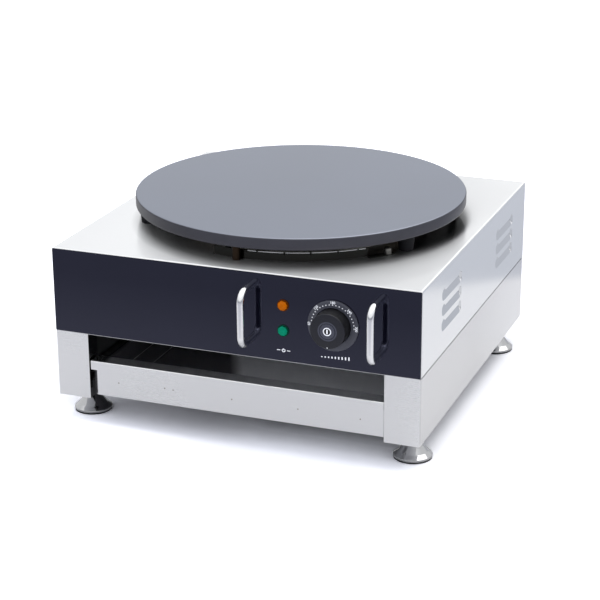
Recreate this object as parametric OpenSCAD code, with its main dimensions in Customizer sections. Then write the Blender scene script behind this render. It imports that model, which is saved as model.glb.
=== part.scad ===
// Countertop electric crepe maker: a round cast griddle plate on a sheet steel housing,
// with a thermostat panel, a pull-out drawer in the base and four adjustable feet.
// Millimetres, +Z up. The ground is at z = 0, and the object's box is centred on x = 0, y = 0.

/* [Body] */
// Width of the body across its sides
body_width = 450; // [440:1:470]
// Depth of the body from the front face to the rear panel
body_depth = 448; // [440:1:470]
// Height of the upper housing
housing_height = 102.4; // [100:0.2:112]
// Height of the base that holds the drawer
base_height = 81.3; // [80:0.1:88]
// Gap between the ground and the base
ground_gap = 33.3; // [33:0.1:38]
// Thickness of the housing sheet
sheet = 1; // [0.9:0.1:1]
// Outer radius of the folded sheet edges
fold_radius = 2.5; // [2:0.1:3]

/* [Griddle] */
// Diameter of the griddle plate
plate_diameter = 402.4; // [394:0.2:404]
// Thickness of the griddle plate
plate_thickness = 14.6; // [12:0.1:18]
// Gap between the top of the housing and the plate
plate_gap = 17.6; // [16.5:0.1:20]
// Distance of the plate's lugs from its centre
lug_circle = 187; // [186.5:0.5:188]

/* [Controls] */
// Dial centre, to the right of the body's centre
dial_x = 123; // [120:1:128]
// Dial centre, below the top of the housing
dial_drop = 51.8; // [50:0.2:54]
// Diameter of the dial's fixed bezel
bezel_diameter = 59.6; // [58:0.2:62]
// Diameter of the temperature knob
knob_diameter = 41; // [40:0.5:41.5]
// Distance from the panel to the knob's face
knob_reach = 20.5; // [19:0.5:24]
// Pilot lamps, to the right of the body's centre
lamp_x = 63.3; // [60:0.1:66]
// Upper lamp, below the top of the housing
lamp_drop = 35.3; // [32:0.1:38]
// Distance between the two lamps
lamp_pitch = 30.2; // [28:0.1:32]

/* [Handles] */
// Left handle, to the right of the body's centre
left_handle_x = 22.9; // [20:0.1:26]
// Right handle, to the right of the body's centre
right_handle_x = 175.1; // [172:0.1:178]
// Middle of the handles, below the top of the housing
handle_drop = 49.5; // [46:0.1:51]
// Distance between the two legs of a handle
handle_pitch = 63.5; // [61:0.5:66]
// Distance from the panel to the middle of the handle's rod
handle_reach = 27; // [25:0.5:30]
// Diameter of the handle's rod
handle_rod = 8.6; // [8:0.1:9]

/* [Drawer] */
// Width of each front column beside the drawer
column_width = 42.2; // [42:0.1:44]
// Height of the drawer's front rail
rail_height = 41.9; // [40:0.1:42]
// Gap between the ground and the drawer's front rail
rail_bottom = 39.5; // [39:0.1:41]
// Depth of the tray from the front face
tray_depth = 384; // [360:1:390]
// Depth of the folded lip along the rail's top
lip_depth = 21; // [18:0.5:21]

/* [Feet] */
// Distance of a foot's axis from the body's side
foot_inset_x = 21.8; // [21:0.1:23]
// Distance of a foot's axis from the front and from the rear
foot_inset_y = 45.1; // [44:0.1:48]
// Diameter of a foot's cup
foot_diameter = 45.8; // [44:0.2:48]

/* [Hidden] */

$fn = 64;

// Colours
steel = [0.80, 0.81, 0.83];
chrome = [0.86, 0.87, 0.89];
panel_black = [0.10, 0.10, 0.12];
plastic_black = [0.07, 0.07, 0.08];
iron_grey = [0.33, 0.33, 0.36];
dark_steel = [0.42, 0.40, 0.38];
brass = [0.78, 0.63, 0.32];
copper = [0.72, 0.45, 0.28];
rubber_black = [0.05, 0.05, 0.06];
ceramic_white = [0.88, 0.87, 0.82];
lamp_orange = [0.85, 0.42, 0.02];
lamp_green = [0.05, 0.60, 0.42];
wire_red = [0.65, 0.12, 0.10];

// Heights
seam = ground_gap + base_height;
housing_top = seam + housing_height;
plate_bottom = housing_top + plate_gap;
plate_top = plate_bottom + plate_thickness;
dial_z = housing_top - dial_drop;
upper_lamp_z = housing_top - lamp_drop;
lower_lamp_z = upper_lamp_z - lamp_pitch;
handle_z = housing_top - handle_drop;

// Plan: the front face is at y = 0 before the whole is centred
half_width = body_width / 2;
plate_y = body_depth / 2;
plate_radius = plate_diameter / 2;
front_reach = handle_reach + handle_rod / 2;
rear_reach = 22;
centre_y = (body_depth + rear_reach - front_reach) / 2;

// Sheets and clearances
floor_sheet = 1.2;
base_sheet = 1.2;
running = 0.07;
flange = 12;
panel_edge = 0.6;
panel_gap = 0.3;
wall_y = sheet;
wall_back = 2 * sheet;
rear_y = body_depth - sheet;
housing_bottom = seam + floor_sheet;
wall_x = half_width - sheet;

// Radii of the screws' threads and heads, and the slack of a hole they pass through
m4 = 2;
m5 = 2.5;
m6 = 3;
m8 = 4;
m4_head = 4;
m5_head = 4.6;
m6_head = 5.7;
slack = 0.1;

// Under the plate
lug_angles = [61, 181, 301];
post_angles = [-2, 118, 238];
post_circle = lug_circle + 2.8;
guard_radius = 184.5;
guard_height = 10.3;
guard_from = -12;
guard_to = 45;
guard_screw_angle = 52.5;
guard_screw_circle = 188;
rear_guard_screw_circle = 177.5;
rear_guard_screw_angle = -7.5;
thread_depth = 12;
element_tube = 4;
element_z = plate_bottom - element_tube;
outer_ring = 140;
inner_ring = 80;
outer_leg_x = 14;
inner_leg_x = 24;
lead_end = housing_top - 13;
lead_bend_y = plate_y + 32;
lead_slot = [-34, plate_y + 20, 34, plate_y + 96];
clamp_top = plate_bottom - 2 * element_tube - 0.1;
clamp_sheet = 1.5;
clamp_bolt_circle = 110;
insulation_thick = 2.6;
reflector_sheet = 0.8;

// Controls behind the panel
shaft_radius = 3;
lamp_neck = 4.9;
lamp_hole = 5.2;
mount_screw_x = 13;

// Rear fittings
gland = [-165, seam + 33.4];
gland_bore = 5;
gland_collar = 10;
bond = [-195, seam + 25.4];
reset = [150, seam + 50.4];
reset_bush = 5.4;
button_radius = 2.95;

// Base and drawer
column_x = half_width - column_width;
tray_x = column_x - 8.4;
lip_x = column_x - 2.1;
rail_top = rail_bottom + rail_height;
lip_bottom = rail_top - 10.9;
tray_floor = rail_bottom + 7.4;
bead_x = 145;
bead_radius = 0.9;
return_depth = 22;
ledge_z = lip_bottom - 0.3;
stop_y = 77;
runner_arms = [110, 330];
foot_x = half_width - foot_inset_x;
foot_front = foot_inset_y;
foot_rear = body_depth - foot_inset_y;
stud_radius = 4.95;
bracket_z = ground_gap + base_sheet;

// ---------- helpers ----------

module placed() {
    translate([0, -centre_y, 0]) children();
}

// Mirrors children to the left where side is negative
module mirrored(side) {
    if (side < 0) mirror([1, 0, 0]) children();
    else children();
}

module rounded_rect(x0, y0, x1, y1, r) {
    translate([x0 + r, y0]) square([x1 - x0 - 2 * r, y1 - y0]);
    translate([x0, y0 + r]) square([x1 - x0, y1 - y0 - 2 * r]);
    for (x = [x0 + r, x1 - r], y = [y0 + r, y1 - r]) translate([x, y]) circle(r);
}

// Extrudes an outline drawn in x and z
module along_y(y0, y1) {
    translate([0, y1, 0]) rotate([90, 0, 0]) linear_extrude(y1 - y0) children();
}

// Extrudes an outline drawn in y and z
module along_x(x0, x1) {
    translate([x0, 0, 0]) rotate([90, 0, 90]) linear_extrude(x1 - x0) children();
}

module along_z(z0, z1) {
    translate([0, 0, z0]) linear_extrude(z1 - z0) children();
}

module box(x0, y0, z0, x1, y1, z1) {
    translate([x0, y0, z0]) cube([x1 - x0, y1 - y0, z1 - z0]);
}

module disc_y(x, z, y0, y1, r) {
    translate([x, y0, z]) rotate([-90, 0, 0]) cylinder(h = y1 - y0, r = r);
}

module hex_y(x, z, y0, y1, r) {
    translate([x, y0, z]) rotate([-90, 0, 0]) cylinder(h = y1 - y0, r = r, $fn = 6);
}

module disc_z(x, y, z0, z1, r) {
    translate([x, y, z0]) cylinder(h = z1 - z0, r = r);
}

// Turns an outline of radius and reach about an axis that points out of the front panel
module turned_front(x, z) {
    translate([x, 0, z]) rotate([90, 0, 0]) rotate_extrude() children();
}

// A straight rod between two points
module link(a, b, r) {
    run = b - a;
    translate(a) rotate([0, acos(run[2] / norm(run)), atan2(run[1], run[0])])
        cylinder(h = norm(run), r = r);
}

function unit(v) = v / norm(v);

// Cuts each corner of a route into two softer ones and keeps its ends
function softened(p) = concat([p[0]], [
    for (i = [1:len(p) - 2], t = [-1, 1]) p[i] + (p[i + t] - p[i]) * 0.3
], [p[len(p) - 1]]);

function heading(p, i) = unit(p[min(i + 1, len(p) - 1)] - p[max(i - 1, 0)]);

// One vector square to the route at each point, turned as little as possible from the last
function sideways(p, last, i = 0) = i == len(p) ? [] :
    let (h = heading(p, i), s = unit(last - (last * h) * h)) concat([s], sideways(p, s, i + 1));

// A bent wire with a flat-sided section, swept along a softened route
module bent_wire(route, r, sides = 6) {
    p = softened(route);
    s = sideways(p, [0.31, 0.23, 0.92]);
    last = (len(p) - 1) * sides;
    polyhedron(
        points = [
            for (i = [0:len(p) - 1], k = [0:sides - 1])
                let (up = cross(heading(p, i), s[i]), a = 360 * k / sides)
                p[i] + r * (cos(a) * s[i] + sin(a) * up)
        ],
        faces = concat(
            [[for (k = [0:sides - 1]) k]],
            [for (i = [0:len(p) - 2], k = [0:sides - 1])
                let (a = i * sides, next = (k + 1) % sides)
                [a + sides + k, a + sides + next, a + next, a + k]],
            [[for (k = [sides - 1:-1:0]) last + k]]
        )
    );
}

// Places children on a circle about the plate's axis, counted from the front towards the right
module on_plate(angle, radius) {
    translate([0, plate_y, 0]) rotate([0, 0, angle - 90]) translate([radius, 0, 0]) children();
}

// Places children at the four feet
module at_feet() {
    for (side = [-1, 1], y = [foot_front, foot_rear])
        mirrored(side) translate([foot_x, y, 0]) children();
}

// ---------- upper housing ----------

louvre_length = 79;
louvre_height = 11;
louvre_pitch = 18.3;
louvre_drop = 27;
louvre_centres = [115.5, 346.5];
louvre_corner = 7;
louvre_depth = 4;
louvre_draw = 6;

// Outline of one louvre, larger by grow at its ends and foot: straight top, round lower corners
module louvre_outline(y, z, grow, rise) {
    half = louvre_length / 2 + grow;
    low = z - grow;
    r = louvre_corner + grow;
    tall = z + louvre_height + rise - low;
    translate([y - half + r, low]) square([2 * (half - r), tall]);
    translate([y - half, low + r]) square([2 * half, tall - r]);
    for (side = [-1, 1]) translate([y + side * (half - r), low + r]) circle(r);
}

function louvre_z(row) = housing_top - louvre_drop - louvre_height - row * louvre_pitch;

module each_louvre() {
    for (y = louvre_centres, row = [0:2]) louvre_outline(y, louvre_z(row), 0, 0);
}

// All that lies outwards of a louvre's slope and its drawn ends, which are moved inwards by back
module louvre_slope(y, z, back) {
    reach = 1.5;
    depth = back + reach * louvre_depth;
    run = louvre_draw / louvre_depth;
    half = louvre_length / 2 + back * norm([1, run]) + run;
    end = half - run * (depth + 1);
    intersection() {
        along_y(y - louvre_length, y + louvre_length) polygon([
            [half_width, z - back * louvre_height / louvre_depth],
            [half_width - depth, z + reach * louvre_height],
            [half_width + 1, z + reach * louvre_height], [half_width + 1, z - louvre_height]
        ]);
        along_z(z - louvre_height, z + 2 * louvre_height) polygon([
            [half_width + 1, y - half], [half_width + 1, y + half],
            [half_width - depth, y + end], [half_width - depth, y - end]
        ]);
    }
}

// The pressed pocket behind each louvre leans inwards from its foot and is open at its top
module louvre_pockets(side) {
    for (y = louvre_centres, row = [0:2]) {
        z = louvre_z(row);
        mirrored(side) difference() {
            intersection() {
                along_x(wall_x - louvre_depth - sheet, half_width)
                    louvre_outline(y, z, sheet, 0);
                louvre_slope(y, z, sheet);
            }
            intersection() {
                along_x(wall_x - louvre_depth - 2 * sheet, half_width + 1)
                    louvre_outline(y, z, 0, 2);
                louvre_slope(y, z, 0);
            }
        }
    }
}

// A block with folded top edges, smaller by inset on every face
module housing_block(inset) {
    r = fold_radius - inset;
    low = housing_bottom - 10;
    intersection() {
        along_y(wall_y + inset, body_depth + 10)
            rounded_rect(inset - half_width, low - 10, half_width - inset, housing_top - inset, r);
        along_x(-half_width, half_width)
            rounded_rect(wall_y + inset, low - 10, body_depth + 20, housing_top - inset, r);
        box(-half_width, 0, housing_bottom - inset, half_width, rear_y - inset, plate_top);
    }
}

module panel_holes(y0, y1) {
    disc_y(dial_x, dial_z, y0, y1, lamp_hole);
    for (z = [upper_lamp_z, lower_lamp_z]) disc_y(lamp_x, z, y0, y1, lamp_hole);
    for (side = [-1, 1]) disc_y(dial_x + side * mount_screw_x, dial_z, y0, y1, m4 + slack);
    at_handle_screws() disc_y(0, 0, y0, y1, m5 + slack);
}

module at_handle_screws() {
    for (x = [left_handle_x, right_handle_x], side = [-1, 1])
        translate([x, 0, handle_z + side * handle_pitch / 2]) children();
}

rear_screw_x = 75;
rear_screw_rise = 20;

// The rear panel's screws sit on the middle of the flanges that they hold
module at_rear_screws() {
    side = half_width - flange / 2;
    for (x = [-side, side], z = [seam + rear_screw_rise, housing_top - rear_screw_rise])
        translate([x, 0, z]) children();
    for (x = [-rear_screw_x, rear_screw_x], z = [housing_bottom + flange / 2, housing_top - flange / 2])
        translate([x, 0, z]) children();
}

module at_plate_fixings() {
    for (angle = lug_angles) on_plate(angle, lug_circle) children();
    for (angle = post_angles) on_plate(angle, post_circle) children();
}

module at_guard_screws() {
    on_plate(guard_screw_angle, guard_screw_circle) children();
    on_plate(rear_guard_screw_angle, rear_guard_screw_circle) children();
}

module top_housing() {
    color(steel) placed() {
        difference() {
            housing_block(0);
            housing_block(sheet);
            along_y(rear_y - 2, rear_y + 1)
                rounded_rect(-half_width + flange, housing_bottom + flange, half_width - flange,
                    housing_top - flange, 4);
            panel_holes(0, 5);
            at_rear_screws() disc_y(0, 0, rear_y - 2, rear_y + 1, m4);
            at_plate_fixings() disc_z(0, 0, housing_top - 3, housing_top + 1, m6);
            at_guard_screws() disc_z(0, 0, housing_top - 3, housing_top + 1, m5);
            along_z(housing_top - 3, housing_top + 1)
                rounded_rect(lead_slot[0], lead_slot[1], lead_slot[2], lead_slot[3], 6);
            for (side = [-1, 1])
                mirrored(side) along_x(half_width - 2 * sheet, half_width + 1) each_louvre();
        }
        for (side = [-1, 1]) louvre_pockets(side);
    }
}

module front_panel() {
    color(panel_black) placed() difference() {
        along_y(0, wall_y)
            rounded_rect(panel_edge - half_width, seam + panel_gap, half_width - panel_edge,
                housing_top - panel_edge - panel_gap, 1);
        panel_holes(-1, wall_y + 1);
    }
}

vent_slots = 7;
vent_pitch = 9;
vent_width = 4;
vent_length = 40;
vent_groups = [-60, 60];

module rear_panel() {
    color(steel) placed() difference() {
        along_y(rear_y, body_depth)
            rounded_rect(panel_gap - half_width, housing_bottom, half_width - panel_gap,
                housing_top - panel_gap, 2);
        at_rear_screws() disc_y(0, 0, rear_y - 1, body_depth + 1, m4);
        disc_y(gland[0], gland[1], rear_y - 1, body_depth + 1, gland_collar);
        disc_y(bond[0], bond[1], rear_y - 1, body_depth + 1, m8);
        disc_y(reset[0], reset[1], rear_y - 1, body_depth + 1, reset_bush);
        for (group = vent_groups, i = [0:vent_slots - 1])
            translate([group + (i - (vent_slots - 1) / 2) * vent_pitch, 0, dial_z])
                along_y(rear_y - 1, body_depth + 1)
                    rounded_rect(-vent_width / 2, -vent_length / 2, vent_width / 2, vent_length / 2,
                        vent_width / 2 - 0.01);
    }
}

floor_slots = 5;
floor_slot_pitch = 22;
floor_slot_length = 50;
floor_slot_width = 6;
floor_slot_x = 120;

module floor_plate() {
    inner = wall_x - sheet / 2;
    long = floor_slot_length / 2;
    wide = floor_slot_width / 2;
    color(steel) placed() difference() {
        union() {
            box(-inner, wall_y, seam, inner, body_depth - base_sheet, housing_bottom);
            for (side = [-1, 1])
                mirrored(side)
                    box(wall_x - sheet, 6, housing_bottom, wall_x, rear_y - 2, housing_bottom + flange);
        }
        at_base_bolts() disc_z(0, 0, seam - 1, housing_bottom + 1, m5);
        for (x = [-floor_slot_x, floor_slot_x], i = [0:floor_slots - 1])
            translate([x, plate_y + (i - (floor_slots - 1) / 2) * floor_slot_pitch, 0])
                along_z(seam - 1, housing_bottom + 1)
                    rounded_rect(-long, -wide, long, wide, wide - 0.01);
    }
}

bolt_inset = 12;
bolt_rows = [90, 224, 380];

module at_base_bolts() {
    side = half_width - bolt_inset;
    for (x = [-side, side], y = bolt_rows) translate([x, y, 0]) children();
}

module rear_screws() {
    color(steel) placed() at_rear_screws() {
        disc_y(0, 0, rear_y - 8, body_depth, m4);
        disc_y(0, 0, body_depth, body_depth + 2, m4_head);
    }
}

module base_bolts() {
    color(steel) placed() at_base_bolts() {
        disc_z(0, 0, seam - 9, housing_bottom, m5);
        disc_z(0, 0, housing_bottom, housing_bottom + 3, m5_head);
        translate([0, 0, seam - base_sheet - 4]) cylinder(h = 4, r = m5_head, $fn = 6);
    }
}

// ---------- griddle and heating ----------

clamp_angles = [60, 180, 300];

module at_clamp_bolts() {
    on_plate(0, 0) children();
    for (angle = clamp_angles) on_plate(angle, clamp_bolt_circle) children();
}

lug_foot = 8.6;
lug_crown = 10.6;
post_radius = 4.8;

module griddle_plate() {
    chamfer = 0.8;
    under = 1.4;
    color(iron_grey) placed() difference() {
        union() {
            translate([0, plate_y, 0]) rotate_extrude($fn = 128) polygon([
                [0, plate_bottom], [plate_radius - under, plate_bottom],
                [plate_radius, plate_bottom + under], [plate_radius, plate_top - chamfer],
                [plate_radius - chamfer, plate_top], [0, plate_top]
            ]);
            for (angle = lug_angles) on_plate(angle, lug_circle)
                translate([0, 0, housing_top])
                    cylinder(h = plate_gap + 1, r1 = lug_foot, r2 = lug_crown);
        }
        for (angle = lug_angles) on_plate(angle, lug_circle)
            disc_z(0, 0, housing_top - 1, housing_top + thread_depth, m6);
        at_clamp_bolts() disc_z(0, 0, plate_bottom - 1, plate_bottom + thread_depth / 2, m6);
    }
}

module spacer_posts() {
    color(dark_steel) placed() for (angle = post_angles) on_plate(angle, post_circle) difference() {
        disc_z(0, 0, housing_top, plate_bottom, post_radius);
        disc_z(0, 0, housing_top - 1, housing_top + thread_depth, m6);
    }
}

module plate_screws() {
    color(steel) placed() at_plate_fixings() {
        disc_z(0, 0, housing_top - sheet, housing_top + thread_depth - 1, m6);
        translate([0, 0, housing_top - sheet - 4]) cylinder(h = 4, r = m6_head, $fn = 6);
    }
}

// An arc of square section about the plate's axis, between two angles from the front
module arc_strip(from, to, r0, r1, z0, z1) {
    translate([0, plate_y, 0]) rotate([0, 0, from - 90])
        rotate_extrude(angle = to - from, $fn = 128)
            translate([r0, z0]) square([r1 - r0, z1 - z0]);
}

guard_holes = [1.2, 5.1, 14.9, 24.2, 33.9, 41.3];

module heat_guard() {
    wall = 1;
    top = housing_top + guard_height;
    color(steel) placed() difference() {
        union() {
            arc_strip(guard_from, guard_to, guard_radius - wall, guard_radius, housing_top, top);
            arc_strip(guard_to - 0.3, guard_screw_angle + 2.2, guard_radius - wall, guard_radius + 8,
                housing_top, housing_top + wall);
            arc_strip(guard_from, -3, guard_radius - 13, guard_radius, housing_top,
                housing_top + wall);
        }
        for (angle = guard_holes)
            on_plate(angle, guard_radius) translate([-3, 0, top - 1.6])
                rotate([0, 90, 0]) cylinder(h = 6, r = 1);
        at_guard_screws() disc_z(0, 0, housing_top - 1, housing_top + 3, m5);
    }
}

module guard_screws() {
    head = 4.7;
    seat = housing_top + 1;
    color(chrome) placed() at_guard_screws() {
        disc_z(0, 0, housing_top - 5, seat, m5);
        translate([0, 0, seat]) rotate_extrude() polygon([
            [0, 0], [head, 0], [head, 4.8], [head - 0.6, 6.4], [head - 1.8, 7.6], [1.4, 8.2], [0, 8.2]
        ]);
    }
}

// A ring element open at the rear, whose ends run to legs that go down into the housing
module ring_element(ring, leg_x, leg_y) {
    half_gap = asin(leg_x / ring);
    join_y = plate_y + ring * cos(half_gap);
    translate([0, plate_y, 0]) rotate([0, 0, 90 + half_gap])
        rotate_extrude(angle = 360 - 2 * half_gap, $fn = 96)
            translate([ring, element_z]) circle(element_tube);
    for (side = [-1, 1]) {
        x = side * leg_x;
        translate([x, join_y, element_z]) sphere(element_tube * 1.02);
        if (join_y - leg_y > 1) link([x, join_y, element_z], [x, leg_y, element_z], element_tube);
        translate([x, leg_y, element_z]) sphere(element_tube * 1.02);
        disc_z(x, leg_y, lead_end, element_z, element_tube);
        disc_z(x, leg_y, lead_end - 8, lead_end, 1.6);
    }
}

module outer_element() {
    color(dark_steel) placed() ring_element(outer_ring, outer_leg_x, lead_bend_y);
}

module inner_element() {
    half_gap = asin(inner_leg_x / inner_ring);
    color(dark_steel) placed()
        ring_element(inner_ring, inner_leg_x, plate_y + inner_ring * cos(half_gap));
}

module element_clamp() {
    color(steel) placed() difference() {
        union() {
            disc_z(0, plate_y, clamp_top - clamp_sheet, clamp_top, 16);
            for (angle = clamp_angles) on_plate(angle, 0)
                box(0, -9, clamp_top - clamp_sheet, outer_ring + 12, 9, clamp_top);
        }
        at_clamp_bolts() disc_z(0, 0, clamp_top - 3, clamp_top + 1, m6);
    }
}

module clamp_bolts() {
    color(steel) placed() at_clamp_bolts() {
        disc_z(0, 0, clamp_top - clamp_sheet, plate_bottom + 5, m6);
        disc_z(0, 0, clamp_top - clamp_sheet - 2.4, clamp_top - clamp_sheet, 5);
    }
}

module lead_opening(z0, z1) {
    along_z(z0, z1) rounded_rect(lead_slot[0], lead_slot[1], lead_slot[2], lead_slot[3], 6);
}

module insulation_disc() {
    color(ceramic_white) placed() difference() {
        disc_z(0, plate_y, housing_top, housing_top + insulation_thick, 154);
        lead_opening(housing_top - 1, housing_top + 5);
    }
}

module reflector_pan() {
    floor_z = housing_top + insulation_thick;
    color(steel) placed() difference() {
        disc_z(0, plate_y, floor_z, floor_z + 3.4, 156);
        disc_z(0, plate_y, floor_z + reflector_sheet, floor_z + 5, 156 - reflector_sheet);
        lead_opening(floor_z - 1, floor_z + 5);
    }
}

// ---------- thermostat and limiter ----------

bulb_y = plate_y - 28;
limiter_y = plate_y - 46;
bulb_radius = 3;
limiter_radius = 2.5;
tube_radius = 0.9;
body_back = wall_back + 34;
limiter_front = rear_y - 24;

module thermostat_bulb() {
    z = plate_bottom - bulb_radius - 0.1;
    color(copper) placed() link([-45, bulb_y, z], [45, bulb_y, z], bulb_radius);
}

module thermostat_capillary() {
    z = plate_bottom - bulb_radius - 0.1;
    color(copper) placed() bent_wire([
        [45, bulb_y, z], [50, bulb_y + 4, z], [30, plate_y + 40, z], [30, plate_y + 44, 200],
        [60, plate_y - 30, 196], [110, 80, 190], [dial_x, 60, dial_z + 10],
        [dial_x, body_back, dial_z + 10]
    ], tube_radius);
}

module limiter_bulb() {
    z = plate_bottom - limiter_radius - 0.1;
    color(copper) placed() link([-38, limiter_y, z], [38, limiter_y, z], limiter_radius);
}

module limiter_capillary() {
    z = plate_bottom - limiter_radius - 0.1;
    color(copper) placed() bent_wire([
        [-38, limiter_y, z], [-44, limiter_y + 4, z], [-50, plate_y - 8, z], [-30, plate_y + 40, z],
        [-30, plate_y + 44, 200], [-20, plate_y + 110, 190], [80, plate_y + 150, 184],
        [reset[0], limiter_front - 20, reset[1] + 8], [reset[0], limiter_front, reset[1] + 8]
    ], tube_radius);
}

module thermostat_body() {
    color(plastic_black) placed() difference() {
        union() {
            box(dial_x - 22, wall_back, dial_z - 17, dial_x + 22, body_back, dial_z + 17);
            disc_y(dial_x, dial_z, -0.6, wall_back, lamp_neck);
        }
        disc_y(dial_x, dial_z, -2, wall_back + 20, shaft_radius + running);
        for (side = [-1, 1])
            disc_y(dial_x + side * mount_screw_x, dial_z, 0, wall_back + 9, m4);
    }
}

module thermostat_screws() {
    color(steel) placed() for (side = [-1, 1]) {
        disc_y(dial_x + side * mount_screw_x, dial_z, 0, wall_back + 8, m4);
        disc_y(dial_x + side * mount_screw_x, dial_z, -2, 0, 3.5);
    }
}

module thermostat_shaft() {
    color(steel) placed() disc_y(dial_x, dial_z, 3 - knob_reach, wall_back + 18, shaft_radius);
}

// The fixed ring around the knob that carries the scale
module dial_bezel() {
    outer = bezel_diameter / 2;
    inner = knob_diameter / 2 + 0.7;
    color(plastic_black) placed() turned_front(dial_x, dial_z) polygon([
        [inner, 0], [outer, 0], [outer, 1.8], [outer - 1, 2.8], [inner + 0.6, 3], [inner, 2.4]
    ]);
}

module temperature_knob() {
    outer = knob_diameter / 2;
    face = knob_reach;
    cap = 9.1;
    color(plastic_black) placed() turned_front(dial_x, dial_z) polygon([
        [shaft_radius, 1], [7, 1], [7, 4.5], [outer - 3, 4.5], [outer - 3, 1], [outer, 1],
        [outer, face - 1.2], [outer - 1.2, face], [cap, face], [cap, face - 2.2], [0, face - 2.2],
        [0, face - 3], [shaft_radius, face - 3]
    ]);
}

module knob_cap() {
    face = knob_reach;
    color(plastic_black) placed() turned_front(dial_x, dial_z) polygon([
        [0, face - 2.2], [9, face - 2.2], [9, face - 0.1], [8.5, face + 0.4], [0, face + 0.4]
    ]);
}

// ---------- pilot lamps ----------

module lamp_lens(z, tint) {
    color(tint) placed() turned_front(lamp_x, z) polygon([
        [0, 0], [7, 0], [7, 1.1], [6.3, 1.9], [5.7, 1.9], [5.3, 4.2], [3.8, 5.4], [0, 5.8]
    ]);
}

module heating_lamp_lens() {
    lamp_lens(upper_lamp_z, lamp_orange);
}

module power_lamp_lens() {
    lamp_lens(lower_lamp_z, lamp_green);
}

module lamp_bodies() {
    color(plastic_black) placed() for (z = [upper_lamp_z, lower_lamp_z]) {
        disc_y(lamp_x, z, 0, wall_back + 24, lamp_neck);
        disc_y(lamp_x, z, wall_back, wall_back + 3, 8);
    }
}

// ---------- handles ----------

module bow_handle(x) {
    r = handle_rod / 2;
    bend = 13;
    half = handle_pitch / 2;
    color(chrome) placed() difference() {
        union() {
            for (side = [-1, 1]) {
                disc_y(x, handle_z + side * half, bend - handle_reach, 0, r);
                translate([x, bend - handle_reach, handle_z + side * (half - bend)])
                    rotate([0, 90, 0]) rotate([0, 0, side > 0 ? 180 : 270])
                        rotate_extrude(angle = 90) translate([bend, 0]) circle(r);
            }
            disc_z(x, -handle_reach, handle_z - half + bend, handle_z + half - bend, r);
        }
        for (side = [-1, 1])
            disc_y(x, handle_z + side * half, -10, 1, m5);
    }
}

module left_handle() {
    bow_handle(left_handle_x);
}

module right_handle() {
    bow_handle(right_handle_x);
}

module handle_screws() {
    color(steel) placed() at_handle_screws() {
        disc_y(0, 0, -9, wall_back, m5);
        disc_y(0, 0, wall_back, wall_back + 3, m5_head);
    }
}

// ---------- terminals and rear fittings ----------

block = [-120, 398, seam + 1.2];
block_poles = [-18, 0, 18];

module terminal_block() {
    color(ceramic_white) placed() difference() {
        box(block[0] - 31, block[1] - 12, block[2], block[0] + 31, block[1] + 12, block[2] + 20);
        for (pole = block_poles) {
            disc_z(block[0] + pole, block[1], block[2] + 8, block[2] + 21, 2.5);
            disc_y(block[0] + pole, block[2] + 12, block[1] - 13, block[1] + 13, 2.2);
        }
    }
}

module wiring() {
    r = 1.5;
    port = block[1] - 15;
    port_z = block[2] + 12;
    tabs = lead_end - 10;
    inner_y = plate_y + inner_ring * cos(asin(inner_leg_x / inner_ring));
    color(wire_red) placed() {
        bent_wire([[block[0] - 18, port, port_z], [block[0] - 18, 350, port_z + 6],
            [-outer_leg_x, 280, 176], [-outer_leg_x, lead_bend_y, tabs - 4],
            [-outer_leg_x, lead_bend_y, tabs]], r);
        bent_wire([[block[0], port, port_z], [block[0], 360, port_z + 10],
            [-inner_leg_x, 318, 178], [-inner_leg_x, inner_y, tabs - 4],
            [-inner_leg_x, inner_y, tabs]], r);
        bent_wire([[block[0] + 18, port, port_z], [-70, 180, 126], [80, 60, 126],
            [dial_x - 12, body_back + 12, dial_z - 8], [dial_x - 12, body_back + 1, dial_z - 8]], r);
        bent_wire([[outer_leg_x, lead_bend_y, tabs], [outer_leg_x, lead_bend_y, tabs - 6],
            [inner_leg_x, inner_y - 10, tabs - 10], [inner_leg_x, inner_y, tabs - 5],
            [inner_leg_x, inner_y, tabs]], r);
        for (z = [upper_lamp_z, lower_lamp_z])
            bent_wire([[lamp_x, wall_back + 25, z], [lamp_x, wall_back + 34, z],
                [dial_x - 30, body_back + 8, z - 4], [dial_x - 23.6, body_back - 4, z - 4]], r);
    }
}

module limiter_body() {
    color(plastic_black) placed() difference() {
        union() {
            box(reset[0] - 21, limiter_front, reset[1] - 15, reset[0] + 21, rear_y, reset[1] + 15);
            disc_y(reset[0], reset[1], rear_y, body_depth + 4, reset_bush);
        }
        disc_y(reset[0], reset[1], rear_y - 17, body_depth + 6, button_radius + running);
    }
}

module reset_nut() {
    color(steel) placed() difference() {
        hex_y(reset[0], reset[1], body_depth, body_depth + 2.6, 8.6);
        disc_y(reset[0], reset[1], body_depth - 1, body_depth + 4, reset_bush);
    }
}

module reset_button() {
    color([0.7, 0.1, 0.08]) placed()
        disc_y(reset[0], reset[1], rear_y - 14, body_depth + 7, button_radius);
}

module cable_gland() {
    color(plastic_black) placed() difference() {
        union() {
            disc_y(gland[0], gland[1], rear_y - 9, body_depth, gland_collar);
            hex_y(gland[0], gland[1], body_depth, body_depth + 5.5, 14);
            disc_y(gland[0], gland[1], body_depth + 5.5, body_depth + 10, 11);
        }
        disc_y(gland[0], gland[1], rear_y - 10, body_depth + 11, gland_bore);
    }
}

module gland_cap() {
    start = body_depth + 10;
    color(plastic_black) placed() difference() {
        union() {
            disc_y(gland[0], gland[1], start, start + 7, 13);
            translate([gland[0], start + 7, gland[1]]) rotate([-90, 0, 0])
                cylinder(h = 5, r1 = 13, r2 = 9);
        }
        disc_y(gland[0], gland[1], start - 1, start + 13, gland_bore);
    }
}

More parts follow.
